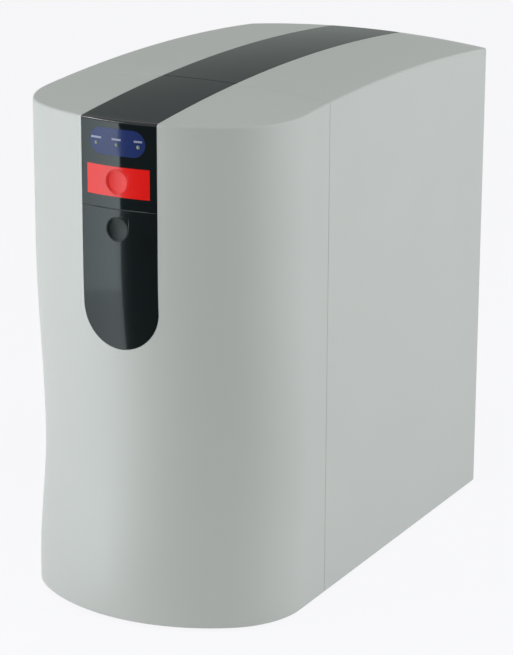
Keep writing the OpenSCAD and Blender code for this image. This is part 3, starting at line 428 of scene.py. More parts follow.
def has_room(edge, radius):
    """Whether a round fits along an edge: what meets its ends leaves at a wide angle and is long enough."""
    spare, close = 1.3, 0.85
    for vert in edge.verts:
        back = (edge.other_vert(vert).co - vert.co).normalized()
        for other in vert.link_edges:
            if other == edge:
                continue
            run = other.other_vert(vert).co - vert.co
            lean = run.normalized().dot(back)
            if lean > close:
                return False
            if abs(lean) < close and run.cross(back).length < spare * radius:
                return False
    return True


def bevel(bm, edges, radius, segments=2):
    """Rounds edges and returns the vertices of the rounds."""
    return bmesh.ops.bevel(
        bm, geom=list(edges), offset=radius, offset_type="OFFSET", affect="EDGES",
        segments=segments, profile=0.5, material=-1,
    )["verts"]


def arc(centre, radius, start, end, steps):
    """Points of an arc in a profile, from one angle to another in degrees."""
    return [
        (centre[0] + radius * math.cos(a), centre[1] + radius * math.sin(a))
        for a in (math.radians(start + (end - start) * i / steps) for i in range(steps + 1))
    ]


def lathe(bm, profile, centre, axis=UP, steps=LATHE_STEPS):
    """Turns a profile of (radius, height) points about an axis through a centre."""
    verts = [bm.verts.new(Vector(centre) + SIDE * r + axis * h) for r, h in profile]
    edges = [bm.edges.new(pair) for pair in zip(verts, verts[1:])]
    bmesh.ops.spin(
        bm, geom=verts + edges, cent=centre, axis=axis, angle=2 * math.pi, steps=steps, use_merge=True
    )
    merge(bm)
    turn_outwards(bm)


def block_edges(bm, low, high):
    """Edges of a new block between two corners."""
    low, high = Vector(low), Vector(high)
    place = Matrix.Translation((low + high) / 2) @ Matrix.Diagonal((*(high - low), 1))
    verts = bmesh.ops.create_cube(bm, size=1, matrix=place)["verts"]
    return {e for v in verts for e in v.link_edges}


def bar(bm, low, high, radius, turn=None):
    """A block between two corners, with rounded edges, that may be turned by a matrix."""
    verts = bevel(bm, block_edges(bm, low, high), radius)
    if turn:
        bmesh.ops.transform(bm, matrix=turn, verts=verts)


def add_object(name, data):
    """A new object of the scene."""
    obj = bpy.data.objects.new(name, data)
    bpy.context.scene.collection.objects.link(obj)
    return obj


def in_scene(bm, name, material):
    """Makes a shape an object of the scene."""
    mesh = bpy.data.meshes.new(name)
    bm.to_mesh(mesh)
    bm.free()
    mesh.materials.append(material)
    return add_object(name, mesh)


def piece(bm, name, body, slot, nodes=(), angle=40, finish_name=None):
    """Makes a shape an object that rides a body, wears a finish and stands for its nodes."""
    obj = in_scene(bm, name, finish(finish_name or slot))
    obj.data.shade_smooth()
    obj.data.set_sharp_from_angle(angle=math.radians(angle))
    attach(obj, body)
    if nodes:
        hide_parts(*nodes)
    return obj


# Skins


def front_skin(inset, edge_r, trim=0.0):
    """Skin of the front cover: its waisted wall, rounded rim and roof, open at the seam and below."""
    c = cover()
    lean, corner_y = front_lean()
    half = c.width / 2 - inset
    corner_x = c.width / 2 - c.corner_r
    spare = 0.012
    start_y = c.seam + spare
    base = c.base + trim
    bm = bmesh.new()
    vert = bm.verts.new((-half, start_y, base))
    vert = run_to(bm, vert, (-half, corner_y, base), ROOF_STEPS)
    vert = turn_about(bm, vert, (-corner_x, corner_y, base), UP, math.pi / 2 - lean, CORNER_STEPS)
    vert = turn_about(bm, vert, (0, c.front + c.front_r, base), UP, 2 * lean, FRONT_STEPS)
    vert = turn_about(bm, vert, (corner_x, corner_y, base), UP, math.pi / 2 - lean, CORNER_STEPS)
    run_to(bm, vert, (half, start_y, base), ROOF_STEPS)

    levels = [base, c.foot_band]
    for low, high, count in (
        (c.foot_band, c.waist_z, FOOT_STEPS), (c.waist_z, c.waist_top, WAIST_STEPS)
    ):
        levels += [low + (high - low) * i / count for i in range(1, count + 1)]
    rim = bm.edges[:]
    for low, high in zip(levels, levels[1:]):
        step = Vector((0, setback(high) - setback(low), high - low))
        rim = sweep(bm, rim, lambda co, step=step: co + step)

    def under_roof(co):
        inner = co - outward(co) * edge_r
        return Vector((co.x, co.y, dome_z(inner.x, inner.y, inset) - edge_r))

    rim = sweep(bm, rim, under_roof)
    for rise, turn in quarter_round(edge_r, EDGE_STEPS):
        rim = sweep(bm, rim, lambda co, r=rise, t=turn: co - outward(co) * t + UP * r)

    end_y = start_y + c.foot_out
    side_x = half - edge_r - TINY
    rim = [e for e in rim if min(abs(v.co.x) for v in e.verts) < side_x]
    for step in range(ROOF_STEPS):
        share = 1 / (ROOF_STEPS - step)

        def on_roof(co, share=share):
            y = co.y + (end_y - co.y) * share
            return Vector((co.x, y, dome_z(co.x, y, inset)))

        rim = sweep(bm, rim, on_roof)
    merge(bm)
    cut(bm, (0, c.seam - c.seam_gap - trim, 0), BACK, clear=True)
    face_out(bm)
    return bm


def rear_skin(inset, edge_r, trim=0.0, back_trim=0.0):
    """Skin of the rear cover: side walls, rounded edges and roof, open in front, behind and below."""
    c = cover()
    half = c.width / 2 - inset
    base = c.base + trim
    start, end = c.seam + trim, c.back - back_trim
    top_x = half - edge_r
    rim_z = dome_z(top_x, start, inset) - edge_r
    crown = 2 * math.asin(top_x / (c.crown_r - inset))
    crown_centre = (0, start, rim_z + edge_r - top_x / math.tan(crown / 2))
    bm = bmesh.new()
    vert = bm.verts.new((-half, start, base))
    vert = run_to(bm, vert, (-half, start, rim_z))
    vert = turn_about(bm, vert, (-top_x, start, rim_z), BACK, math.pi / 2, EDGE_STEPS)
    vert = turn_about(bm, vert, crown_centre, BACK, crown, CROWN_STEPS)
    vert = turn_about(bm, vert, (top_x, start, rim_z), BACK, math.pi / 2, EDGE_STEPS)
    run_to(bm, vert, (half, start, base))
    rim = bm.edges[:]
    places = [start + (end - start) * i / REAR_STEPS for i in range(REAR_STEPS + 1)]
    for y0, y1 in zip(places, places[1:]):

        def further(co, y0=y0, y1=y1):
            rise = dome_z(co.x, y1, inset) - dome_z(co.x, y0, inset) if co.z > base + TINY else 0
            return Vector((co.x, y1, co.z + rise))

        rim = sweep(bm, rim, further)
    face_out(bm)
    return bm


def strip_outline(grow):
    """Outline of the strip seen from the front, with its round lower end."""
    s = strip()
    half = s.width / 2 + grow
    top = cover().height + s.width
    return [(half, top), (-half, top)] + arc((0, s.end_z + s.width / 2), half, 180, 360, STRIP_END_STEPS)


def window_outline(grow):
    """Outline of the lamp window, with round ends."""
    s = strip()
    x, r = (s.window_w - s.window_h) / 2, s.window_h / 2 + grow
    right = arc((x, s.window_z), r, -90, 90, WINDOW_END_STEPS)
    return right + arc((-x, s.window_z), r, 90, 270, WINDOW_END_STEPS)


def insert_outline(grow):
    s = strip()
    return rectangle(s.insert_w + 2 * grow, s.insert_h + 2 * grow, s.insert_z)


def disc(x, z, r, steps=DISC_STEPS):
    return arc((x, z), r, 0, 360 - 360 / steps, steps - 1)


def rectangle(w, h, z):
    return [(-w / 2, z - h / 2), (w / 2, z - h / 2), (w / 2, z + h / 2), (-w / 2, z + h / 2)]


def strip_sheet(outline):
    """Outer skin of the strip within an outline."""
    bm = front_skin(0, strip().edge_r, strip().gap)
    keep(bm, carve(bm, outline(0)))
    return bm


def sink(bm, verts, depth):
    """Moves vertices of a sheet inwards, so that the faces beside them slope."""
    bm.normal_update()
    moves = {v: v.normal * depth for v in verts}
    for vert, move in moves.items():
        vert.co -= move


def open_hole(bm, outline, slope=0.0):
    """Opens a hole in a sheet, with a sloped band round it."""
    if slope:
        carve(bm, outline(slope))
    inside = carve(bm, outline(0))
    old = open_rim(bm)
    drop(bm, inside)
    sink(bm, open_rim(bm) - old, slope / 2)


def finish_trim(bm, name, body, slot, nodes):
    """Thickens a sheet of trim and hangs it on a cover."""
    merge(bm, NEAR)
    thicken(bm, strip().thick)
    piece(bm, name, body, slot, nodes, angle=20)


# Shader sums


class Wire:
    """A shader value: Python arithmetic on it adds Math nodes."""

    def __init__(self, tree, socket=None):
        self.tree = tree
        self.socket = socket

    def add(self, kind, settings=None, sockets=None, out=0):
        """Adds a node, sets its settings and then its sockets, and returns one of its outputs."""
        node = self.tree.nodes.new(kind)
        for name, value in (settings or {}).items():
            setattr(node, name, value)
        for key, value in (sockets or {}).items():
            if isinstance(value, Wire):
                self.tree.links.new(value.socket, node.inputs[key])
            else:
                node.inputs[key].default_value = value
        return Wire(self.tree, node.outputs[out])

    def sum(self, operation, first, second=0.0):
        return self.add("ShaderNodeMath", {"operation": operation}, {0: first, 1: second})

    def __add__(self, other):
        return self.sum("ADD", self, other)

    def __radd__(self, other):
        return self.sum("ADD", other, self)

    def __sub__(self, other):
        return self.sum("SUBTRACT", self, other)

    def __rsub__(self, other):
        return self.sum("SUBTRACT", other, self)

    def __mul__(self, other):
        return self.sum("MULTIPLY", self, other)

    def __rmul__(self, other):
        return self.sum("MULTIPLY", other, self)


def blend(wire, factor, first, second):
    """Mixes two colours."""
    return wire.add("ShaderNodeMix", {"data_type": "RGBA"}, {0: factor, 6: first, 7: second}, out=2)


def shown(wire):
    """1 on the rays that show the background: from the camera, off gloss or through glass."""
    camera, gloss, glass = (
        wire.add("ShaderNodeLightPath", out=f"Is {ray} Ray") for ray in ("Camera", "Glossy", "Transmission")
    )
    return wire.sum("MAXIMUM", wire.sum("MAXIMUM", camera, gloss), glass)


def rgba(shade, scale=1.0):
    return (*(min(v * scale, 1.0) for v in shade), 1.0)


class Finish:
    """A material in the making: its wire, its surface coordinates and its shader."""

    def __init__(self, name):
        self.material = bpy.data.materials.new(name)
        self.material.use_nodes = True
        tree = self.material.node_tree
        self.shader = tree.nodes["Principled BSDF"]
        self.wire = Wire(tree)
        self.place = self.wire.add("ShaderNodeTexCoord", out="Object")

    def noise(self, scale, detail=2.0, stretch=(1, 1, 1)):
        place = self.place
        if stretch != (1, 1, 1):
            place = self.wire.add("ShaderNodeMapping", None, {"Vector": place, "Scale": stretch})
        return self.wire.add(
            "ShaderNodeTexNoise", None, {"Vector": place, "Scale": scale, "Detail": detail}
        )

    def axis(self, name):
        return self.wire.add("ShaderNodeSeparateXYZ", None, {"Vector": self.place}, out=name)

    def cells(self, scale, out="Distance"):
        return self.wire.add("ShaderNodeTexVoronoi", None, {"Vector": self.place, "Scale": scale}, out=out)

    def step(self, value, low, high):
        """0 below low and 1 above high."""
        return self.wire.add(
            "ShaderNodeMapRange", None, {"Value": value, "From Min": low, "From Max": high}
        )

    def show(self, wire):
        """Makes a shader of another kind the surface."""
        tree = self.wire.tree
        tree.links.new(wire.socket, tree.nodes["Material Output"].inputs["Surface"])

    def link(self, name, wire):
        self.wire.tree.links.new(wire.socket, self.shader.inputs[name])

    def bump(self, height, depth, strength=1.0):
        self.link("Normal", self.wire.add(
            "ShaderNodeBump", None, {"Height": height, "Distance": depth, "Strength": strength}
        ))

    def tone(self, mask, shade, low, high):
        """Lets the colour run between two strengths of a shade."""
        self.link("Base Color", blend(self.wire, mask, rgba(shade, low), rgba(shade, high)))

    def wear(self):
        """Marks of a glossy face: slow clouds, dust and hairlines."""
        dust = self.step(self.noise(420, 3), 0.60, 0.78)
        hairs = self.step(self.noise(90, 5, (1, 14, 2)), 0.58, 0.72)
        return self.noise(25, 4), dust, hairs

    def set(self, **values):
        """Sets the shader's own sockets."""
        for name, value in values.items():
            self.shader.inputs[name.replace("_", " ").title().replace("Ior", "IOR")].default_value = value


def moulded(f, shade, rough=0.45, grain=0.00004, grain_scale=1500, coat=0.0, tint=0.04):
    """Moulded plastic: a fine spark texture, slow changes of tint and of gloss."""
    fine = f.noise(grain_scale, 2)
    f.tone(f.noise(9, 3), shade, 1 - tint, 1 + tint)
    f.link("Roughness", rough - 0.05 + 0.06 * f.noise(60, 4) + 0.04 * fine)
    if grain:
        f.bump(fine, grain)
    f.set(coat_weight=coat, coat_roughness=0.06)


def polished(f, shade, rough=0.12, tint=0.2, coat=0.0, shine=0.5):
    """Glossy plastic: hairline marks and a little dust dull it in places."""
    slow, dust, hairs = f.wear()
    f.tone(slow, shade, 1 - tint, 1 + tint)
    f.link("Roughness", rough + 0.04 * slow + 0.05 * dust + 0.03 * hairs)
    f.bump(f.noise(14, 2), 0.00025, 0.12)
    f.set(coat_weight=coat, coat_roughness=0.04, specular_ior_level=shine)


def strip_gloss(f, shade):
    """Black strip: a clear polished face in front, plainer on top and softer below the line across it."""
    slow, dust, hairs = f.wear()
    split_z, split_fade = strip().split_z, 0.0005
    below = 1 - f.step(f.axis("Z"), split_z - split_fade, split_z + split_fade)
    turn_y, turn_fade = cover().front + 0.0095, 0.0007
    front = 1 - f.step(f.axis("Y"), turn_y - turn_fade, turn_y + turn_fade)
    f.tone(slow, shade, 0.8, 1.2)
    f.link("Roughness", 0.29 - 0.24 * front + 0.09 * below + 0.03 * slow + 0.04 * dust + 0.02 * hairs)
    f.link("Coat Weight", front * (0.34 - 0.08 * dust))
    f.bump(f.noise(14, 2), 0.00025, 0.08)
    f.set(coat_roughness=0.05, specular_ior_level=0.22)


def sheet_metal(f, shade, rough=0.35, spangle=110):
    """Plated sheet with a faint spangle."""
    tone = f.cells(spangle, out="Color")
    flake = f.wire.add("ShaderNodeSeparateColor", None, {"Color": tone})
    f.tone(flake, shade, 0.88, 1.1)
    f.link("Roughness", rough + 0.16 * flake - 0.06 + 0.06 * f.noise(40, 4))
    f.bump(f.noise(700, 2), 0.00002)
    f.set(metallic=1.0)


def drawn_metal(f, shade, rough=0.3):
    """Turned or drawn metal with fine lines."""
    lines = f.noise(120, 4, (1, 1, 30))
    f.tone(f.noise(18, 3), shade, 0.88, 1.08)
    f.link("Roughness", rough - 0.08 + 0.2 * lines)
    f.bump(lines, 0.00002)
    f.set(metallic=1.0)


def enamel(f, shade, rough=0.22):
    """Sprayed paint with orange peel."""
    f.tone(f.noise(7, 3), shade, 0.95, 1.05)
    f.link("Roughness", rough + 0.1 * f.noise(35, 4))
    f.bump(f.noise(260, 2), 0.00008, 0.6)
    f.set(coat_weight=0.5, coat_roughness=0.1)


def rubber(f, shade):
    """Matt rubber with a dusty bloom."""
    bloom = f.step(f.noise(55, 5), 0.45, 0.8)
    f.tone(bloom, shade, 1.0, 2.2)
    f.link("Roughness", 0.72 + 0.15 * bloom)
    f.bump(f.noise(900, 2), 0.00005)


def circuit(f, shade):
    """Lacquered board with copper tracks and pads under it."""
    copper, solder = (0.06, 0.26, 0.1), (0.55, 0.5, 0.38)
    upright = (math.pi / 2, 0, 0)
    track = f.wire.add("ShaderNodeTexBrick", {"offset": 0.37}, {
        "Vector": f.wire.add("ShaderNodeMapping", None, {"Vector": f.place, "Rotation": upright}),
        "Scale": 90.0, "Mortar Size": 0.035, "Brick Width": 0.9, "Row Height": 0.22,
    }, out="Fac")
    pads = 1 - f.step(f.cells(260), 0.18, 0.22)
    base = blend(f.wire, track, rgba(shade), rgba(copper))
    f.link("Base Color", blend(f.wire, pads * 0.8, base, rgba(solder)))
    f.link("Roughness", 0.3 + 0.12 * f.noise(60, 3))
    f.bump(track + pads, 0.00004)


def wrapped_roll(f, shade):
    """Tape wound round the rolled membrane."""
    turns = f.wire.add("ShaderNodeTexWave", {"bands_direction": "Z"}, {
        "Vector": f.place, "Scale": 28.0, "Distortion": 0.6,
    })
    f.tone(turns, shade, 0.85, 1.12)
    f.link("Roughness", 0.38 + 0.14 * turns)
    f.bump(turns, 0.0002, 0.5)


# Maker of each finish, and its values after the colour
FINISH_MAKERS = {
    "shell_grey": (moulded, 0.48, 0.00003, 1400, 0.0, 0.02),
    "panel_grey": (moulded, 0.52),
    "tray_dark": (moulded, 0.6, 0.00008, 900),
    "foot_rubber": (rubber,),
    "screw_steel": (drawn_metal,),
    "strip_black": (strip_gloss,),
    "button_black": (polished, 0.28, 0.2, 0.0, 0.3),
    "button_red": (polished, 0.34, 0.05, 0.0, 0.4),
    "lamp_blue": (polished, 0.1, 0.1, 0.0, 0.3),
    "lamp_green": (polished, 0.3, 0.08, 0.2),
    "insert_red": (polished, 0.14, 0.05, 0.0, 0.4),
    "board_green": (circuit,),
    "plate_zinc": (sheet_metal,),
    "filter_white": (moulded, 0.32, 0.00002, 700, 0.15),
    "membrane_blue": (wrapped_roll,),
    "motor_steel": (drawn_metal, 0.34),
    "rotor_iron": (drawn_metal, 0.5),
    "black_plastic": (moulded, 0.42),
    "tank_paint": (enamel,),
    "collet_blue": (polished, 0.28, 0.08, 0.2),
    "collet_grey": (polished, 0.28, 0.08, 0.2),
    "tube_white": (polished, 0.3, 0.03, 0.2),
    "label_white": (moulded, 0.4, 0.0),
}
# Finishes whose colour a user may change; the others have their slot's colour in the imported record
OWN_SHADES = {
    "shell_grey": "shell",
    "strip_black": "strip",
    "button_black": "strip",
    "insert_red": "insert",
    "button_red": "insert",
    "lamp_blue": "window",
    "lamp_green": "lens",
    "tank_paint": "tank",
    "label_white": "dashes",
}
SLOT_SHADES = {m["slot"]: m["base_color"] for m in frame["record"]["materials"]}
NODE_SLOTS = {p["node"]: p["material_slot"] for p in frame["record"]["subparts"]}
FINISHES = {}


def finish(name):
    """The material of a slot or of a finish of its own, made once."""
    if name not in FINISHES:
        maker, *values = FINISH_MAKERS[name]
        if name in OWN_SHADES:
            shade = getattr(bpy.context.scene.osmosis_colours, OWN_SHADES[name])
        else:
            shade = SLOT_SHADES[name]
        f = Finish(name)
        maker(f, shade, *values)
        FINISHES[name] = f.material
    return FINISHES[name]


# Pieces


# Each button's slot and finish
BUTTONS = {"red_button": ("insert_red", "button_red"), "reset_button": ("strip_black", "button_black")}


def button_z(node):
    low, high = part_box(node)
    return (low.z + high.z) / 2


def button_hole(z, grow=0.0):
    """Outline of a button's hole."""
    return disc(0, z, strip().button_r + strip().button_play + grow)


def press_channel(bm, faces):
    """Sinks faces of a cover to make room for the strip."""
    depth = -strip().channel
    bmesh.ops.inset_region(
        bm, faces=faces, thickness=0, depth=depth, use_even_offset=True, use_boundary=False
    )


class OSMOSIS_OT_front_cover(bpy.types.Operator):
    """Front cover with the channel for the strip, its sleeves, posts and tongues"""

    bl_idname = "osmosis.front_cover"
    bl_label = "Front cover"

    def execute(self, context):
        c, s = cover(), strip()
        bm = front_skin(0, c.edge_r, c.rim_r)
        press_channel(bm, carve(bm, strip_outline(s.gap)))
        seam = c.seam - c.seam_gap
        round_rims(bm, [(1, seam, 1, c.rim_r), (2, c.base, -1, c.rim_r)])
        inner = front_skin(c.wall, c.rim_r)
        sites = [button_z(node) for node in BUTTONS]
        for skin in (bm, inner):
            for z in sites:
                drop(skin, carve(skin, button_hole(z)))
        close_shell(bm, inner, [(1, seam), (2, c.base)])
        for z in sites:
            rim = [e for e in open_edges(bm) if abs(e.verts[0].co.z - z) < 2 * s.button_r]
            bmesh.ops.bridge_loops(bm, edges=rim)
        self.fittings(bm, sites)
        piece(bm, "front_cover_shell", "cover", "shell_grey", ["front_cover"], angle=20)
        return {"FINISHED"}

    def fittings(self, bm, sites):
        """Tongues that enter the rear cover, the buttons' sleeves and the posts of the display board."""
        c, s = cover(), strip()
        tongue_t, tongue_h, tongue_zs, reach, play = 0.002, 0.024, (0.09, 0.3), 0.01, 0.0004
        seam = c.seam - c.seam_gap / 2
        side = c.width / 2 - c.wall
        for z in tongue_zs:
            for sign in (-1, 1):
                xs = sorted((sign * (side - play - tongue_t), sign * (side - play)))
                bar(bm, (xs[0], seam - 2 * reach, z), (xs[1], seam + reach, z + tongue_h), c.rim_r)
        face = c.front + c.foot_out + c.wall
        sunk, sleeve_len, sleeve_t = 0.0004, 0.0022, 0.0022
        inner = s.button_r + s.button_play
        outer = inner + sleeve_t
        for z in sites:
            ring = [(inner, -sunk), (outer, -sunk), (outer, sleeve_len), (inner, sleeve_len)]
            lathe(bm, ring + ring[:1], (0, face, z), BACK)
        low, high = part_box("display_board")
        post_r, post_in, board_y = 0.003, 0.004, -0.193
        for x in (low.x + post_in, high.x - post_in):
            for z in (low.z + post_in, high.z - post_in):
                post = [(0, 0), (post_r, 0), (post_r, board_y - face), (0, board_y - face)]
                lathe(bm, post, (x, face, z), BACK, FINE_STEPS)


class OSMOSIS_OT_rear_cover(bpy.types.Operator):
    """Rear cover with the channel for the strip"""

    bl_idname = "osmosis.rear_cover"
    bl_label = "Rear cover"

    def execute(self, context):
        c, s = cover(), strip()
        back_r = 2 * c.rim_r
        bm = rear_skin(0, c.edge_r, c.rim_r, back_r)
        half = s.width / 2 + s.gap
        roof = cut(bm, (half, 0, 0), SIDE)
        roof = cut(bm, (-half, 0, 0), -SIDE, roof)
        press_channel(bm, roof)
        round_rims(bm, [(1, c.seam, -1, c.rim_r), (1, c.back, 1, back_r), (2, c.base, -1, c.rim_r)])
        close_shell(bm, rear_skin(c.wall, c.rim_r), [(1, c.seam), (1, c.back), (2, c.base)])
        piece(bm, "rear_cover_shell", "chassis", "shell_grey", ["rear_cover"], angle=20)
        return {"FINISHED"}


class OSMOSIS_OT_control_strip(bpy.types.Operator):
    """Black strip over the top and down the front, in three pieces, and its red insert"""

    bl_idname = "osmosis.control_strip"
    bl_label = "Control strip"

    def execute(self, context):
        c, s = cover(), strip()
        seam_y = c.seam - c.seam_gap - s.gap - s.soft_r
        upper = self.fascia(s.split_z, -UP, [(UP * (s.split_z + s.soft_r), UP), (BACK * seam_y, BACK)])
        open_hole(upper, lambda grow: window_outline(s.flush_gap + grow))
        open_hole(upper, lambda grow: insert_outline(s.flush_gap + grow))
        finish_trim(upper, "upper_fascia_trim", "cover", "strip_black", ["upper_fascia"])

        split = s.split_z - s.gap
        lower = self.fascia(split, UP, [(UP * (split - s.soft_r), UP)])
        open_hole(lower, lambda grow: button_hole(button_z("reset_button"), grow), s.hole_r)
        finish_trim(lower, "lower_fascia_trim", "cover", "strip_black", ["lower_fascia"])

        insert = strip_sheet(insert_outline)
        open_hole(insert, lambda grow: button_hole(s.insert_z, grow), s.hole_r)
        finish_trim(insert, "red_insert_plate", "cover", "insert_red", ["red_insert"])

        top = rear_skin(0, c.edge_r, back_trim=s.gap)
        for sign in (-1, 1):
            keep(top, cut(top, (sign * s.width / 2, 0, 0), SIDE * sign))
            cut(top, (sign * (s.width / 2 - s.soft_r), 0, 0), SIDE)
        for y in (c.seam + s.soft_r, c.back - s.gap - s.soft_r):
            cut(top, (0, y, 0), BACK)
        sink(top, open_rim(top), s.soft_r / 2)
        finish_trim(top, "rear_top_trim", "chassis", "strip_black", ["rear_top_strip"])
        return {"FINISHED"}

    def fascia(self, edge, way, bands):
        """Skin of the strip on one side of the line across it, cut along bands and sloped at its rims."""
        slope = strip().soft_r
        bm = strip_sheet(strip_outline)
        keep(bm, cut(bm, UP * edge, way))
        for place, normal in bands:
            cut(bm, place, normal)
        carve(bm, strip_outline(-slope))
        sink(bm, open_rim(bm), slope / 2)
        return bm


def face_y(x):
    """Place of the upper front along Y, at a distance from the middle."""
    c = cover()
    return c.front + c.foot_out + c.front_r - math.sqrt(c.front_r ** 2 - x * x)


class OSMOSIS_OT_lamp_window(bpy.types.Operator):
    """Blue lamp window, its three lenses and the plain dashes over them"""

    bl_idname = "osmosis.lamp_window"
    bl_label = "Lamp window"

    def execute(self, context):
        s = strip()
        low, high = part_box("lamp_lenses")
        lens_r = (high.z - low.z) / 2
        lens_z = (high.z + low.z) / 2
        pitch = (high.x - low.x) / 2 - lens_r
        sites = (-pitch, 0, pitch)
        window = strip_sheet(window_outline)
        for x in sites:
            open_hole(window, lambda grow, x=x: disc(x, lens_z, lens_r + s.gap / 2 + grow, FINE_STEPS))
        finish_trim(window, "lamp_window_lens", "cover", "lamp_blue", ["lamp_window"])

        lenses = bmesh.new()
        proud = 0.0003
        dome = [(r, -h * proud / lens_r) for r, h in arc((0, 0), lens_r, 0, 90, 6)]
        for x in sites:
            face = face_y(x)
            depth = high.y - face
            lathe(lenses, [(0, depth), (lens_r, depth)] + dome, (x, face, lens_z), BACK, FINE_STEPS)
        piece(lenses, "lamp_lens_caps", "cover", "lamp_green", ["lamp_lenses"])

        dash_ws, dash_h, rise = (0.0094, 0.0078, 0.0066), 0.0015, 0.0042
        spans = [(x - w / 2, x + w / 2) for x, w in zip(sites, dash_ws)]
        dashes = strip_sheet(lambda grow: rectangle(s.window_w, dash_h, lens_z + rise))
        drop(dashes, self.outside(dashes, spans))
        bmesh.ops.translate(dashes, verts=dashes.verts[:], vec=-BACK * s.gap / 4)
        thicken(dashes, s.gap)
        piece(dashes, "lamp_dashes", "cover", "lamp_blue", finish_name="label_white")
        return {"FINISHED"}

    def outside(self, bm, spans):
        """Faces of a row outside the given spans."""
        for span in spans:
            for edge in span:
                cut(bm, (edge, 0, 0), SIDE)
        places = {f: f.calc_center_median().x for f in bm.faces}
        return [f for f, x in places.items() if not any(low < x < high for low, high in spans)]


class OSMOSIS_OT_push_buttons(bpy.types.Operator):
    """Two dished push buttons with their flanges and stems"""

    bl_idname = "osmosis.push_buttons"
    bl_label = "Push buttons"

    def execute(self, context):
        for node, (slot, finish_name) in BUTTONS.items():
            self.button(node, slot, finish_name)
        return {"FINISHED"}

    def button(self, node, slot, finish_name):
        s = strip()
        low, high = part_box(node)
        rim_r, slope_w, loop = 0.0003, 0.0012, 0.0002
        bowl_r = s.button_r - 2 * rim_r
        flat_r, fall = bowl_r - slope_w, s.dish / slope_w
        flange_r = (high.z - low.z) / 2
        stem_r, flange_t, cap_len = 0.0025, 0.0015, 0.0057
        depth = high.y - low.y
        profile = [(0, s.dish), (flat_r - loop, s.dish), (flat_r + loop, s.dish - fall * loop)]
        profile += [(bowl_r - loop, fall * loop), (bowl_r + loop, 0)]
        profile += arc((s.button_r - rim_r, rim_r), rim_r, 270, 360, 5)[1:]
        profile += [(s.button_r, cap_len), (flange_r, cap_len), (flange_r, cap_len + flange_t)]
        profile += [(stem_r, cap_len + flange_t), (stem_r, depth), (0, depth)]
        bm = bmesh.new()
        lathe(bm, profile, (0, low.y, (low.z + high.z) / 2), BACK)
        for vert in bm.verts:
            if vert.co.y < low.y + cap_len / 2:
                vert.co.y += face_y(vert.co.x) - face_y(0)
        piece(bm, node + "_cap", node, slot, [node], 35, finish_name)


def axis_of(node):
    """Corners of a node's box, the foot of its upright axis on the floor, and its radius."""
    low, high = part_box(node)
    centre = (low + high) / 2
    centre.z = 0
    return low, high, centre, (high.x - low.x) / 2


def grooves(r, depth, *places, floor=2):
    """Profile of grooves that start at the given heights; their floors are so many depths wide."""
    steps = ((0, 0), (1, 1), (1, 1 + floor), (0, 2 + floor))
    return [(r - inwards * depth, z + up * depth) for z in places for inwards, up in steps]


def stub(bm, foot, axis, reach):
    """A push-in stub with a grip ring, sunk a little into what carries it."""
    radius, lip, sunk = 0.006, 0.0008, 0.0005
    ring, mouth = 0.84 * radius, 0.6 * radius
    reach += sunk
    profile = [(0, 0), (radius, 0), (radius, 0.3 * reach), (ring, 0.38 * reach), (ring, 0.55 * reach)]
    profile += [(radius, 0.63 * reach), (radius, reach - lip), (radius - lip, reach), (mouth, reach)]
    profile += [(mouth, 0.7 * reach), (0, 0.7 * reach)]
    lathe(bm, profile, Vector(foot) - axis * sunk, axis, 32)


def ring_of_ribs(bm, centre, count, low, high, radius):
    """Upright ribs round a centre; low and high are corners of the rib on the +X side."""
    for i in range(count):
        turn = Matrix.Translation(centre) @ Matrix.Rotation(2 * math.pi * i / count, 4, "Z")
        bar(bm, low, high, radius, turn)


class OSMOSIS_OT_cartridges(bpy.types.Operator):
    """Three twist-in cartridges with ribbed grips, collars and bored necks"""

    bl_idname = "osmosis.cartridges"
    bl_label = "Cartridges"

    def execute(self, context):
        for node in ("sediment_cartridge", "carbon_cartridge", "carbon_block_cartridge"):
            self.cartridge(node)
        return {"FINISHED"}

    def cartridge(self, node):
        low, high, centre, collar_r = axis_of(node)
        foot, top = low.z, high.z
        step, round_r, cut_t = 0.001, 0.012, 0.0006
        neck_r, neck_step, bore_r, bore_z = 0.014, 0.002, 0.006, top - 0.006
        r = collar_r - step
        collar_low, collar_high = top - 0.028, top - 0.0103
        grip = foot + round_r + 0.026
        hollow = ((0, 0.002), (0.012, 0.0016), (0.0155, 0))
        profile = [(x, foot + rise) for x, rise in hollow]
        profile += arc((r - round_r, foot + round_r), round_r, 270, 360, 10)
        profile += grooves(r, cut_t, grip + 0.004, collar_low - 0.012)
        profile += [(r, collar_low - neck_step), (collar_r, collar_low), (collar_r, collar_high - step)]
        profile += [(collar_r - step, collar_high), (neck_r + neck_step, collar_high)]
        profile += [(neck_r, collar_high + neck_step), (neck_r, top - step), (neck_r - step, top)]
        profile += [(bore_r, top), (bore_r, bore_z), (0, bore_z)]
        bm = bmesh.new()
        lathe(bm, profile, centre)
        ribs, rib_w, rib_in, rib_r = 16, 0.0024, 0.003, 0.0009
        low_corner, high_corner = (r - rib_in, -rib_w / 2, foot + round_r), (r + step, rib_w / 2, grip)
        ring_of_ribs(bm, centre, ribs, low_corner, high_corner, rib_r)
        piece(bm, node + "_body", node, "filter_white", [node], angle=30)


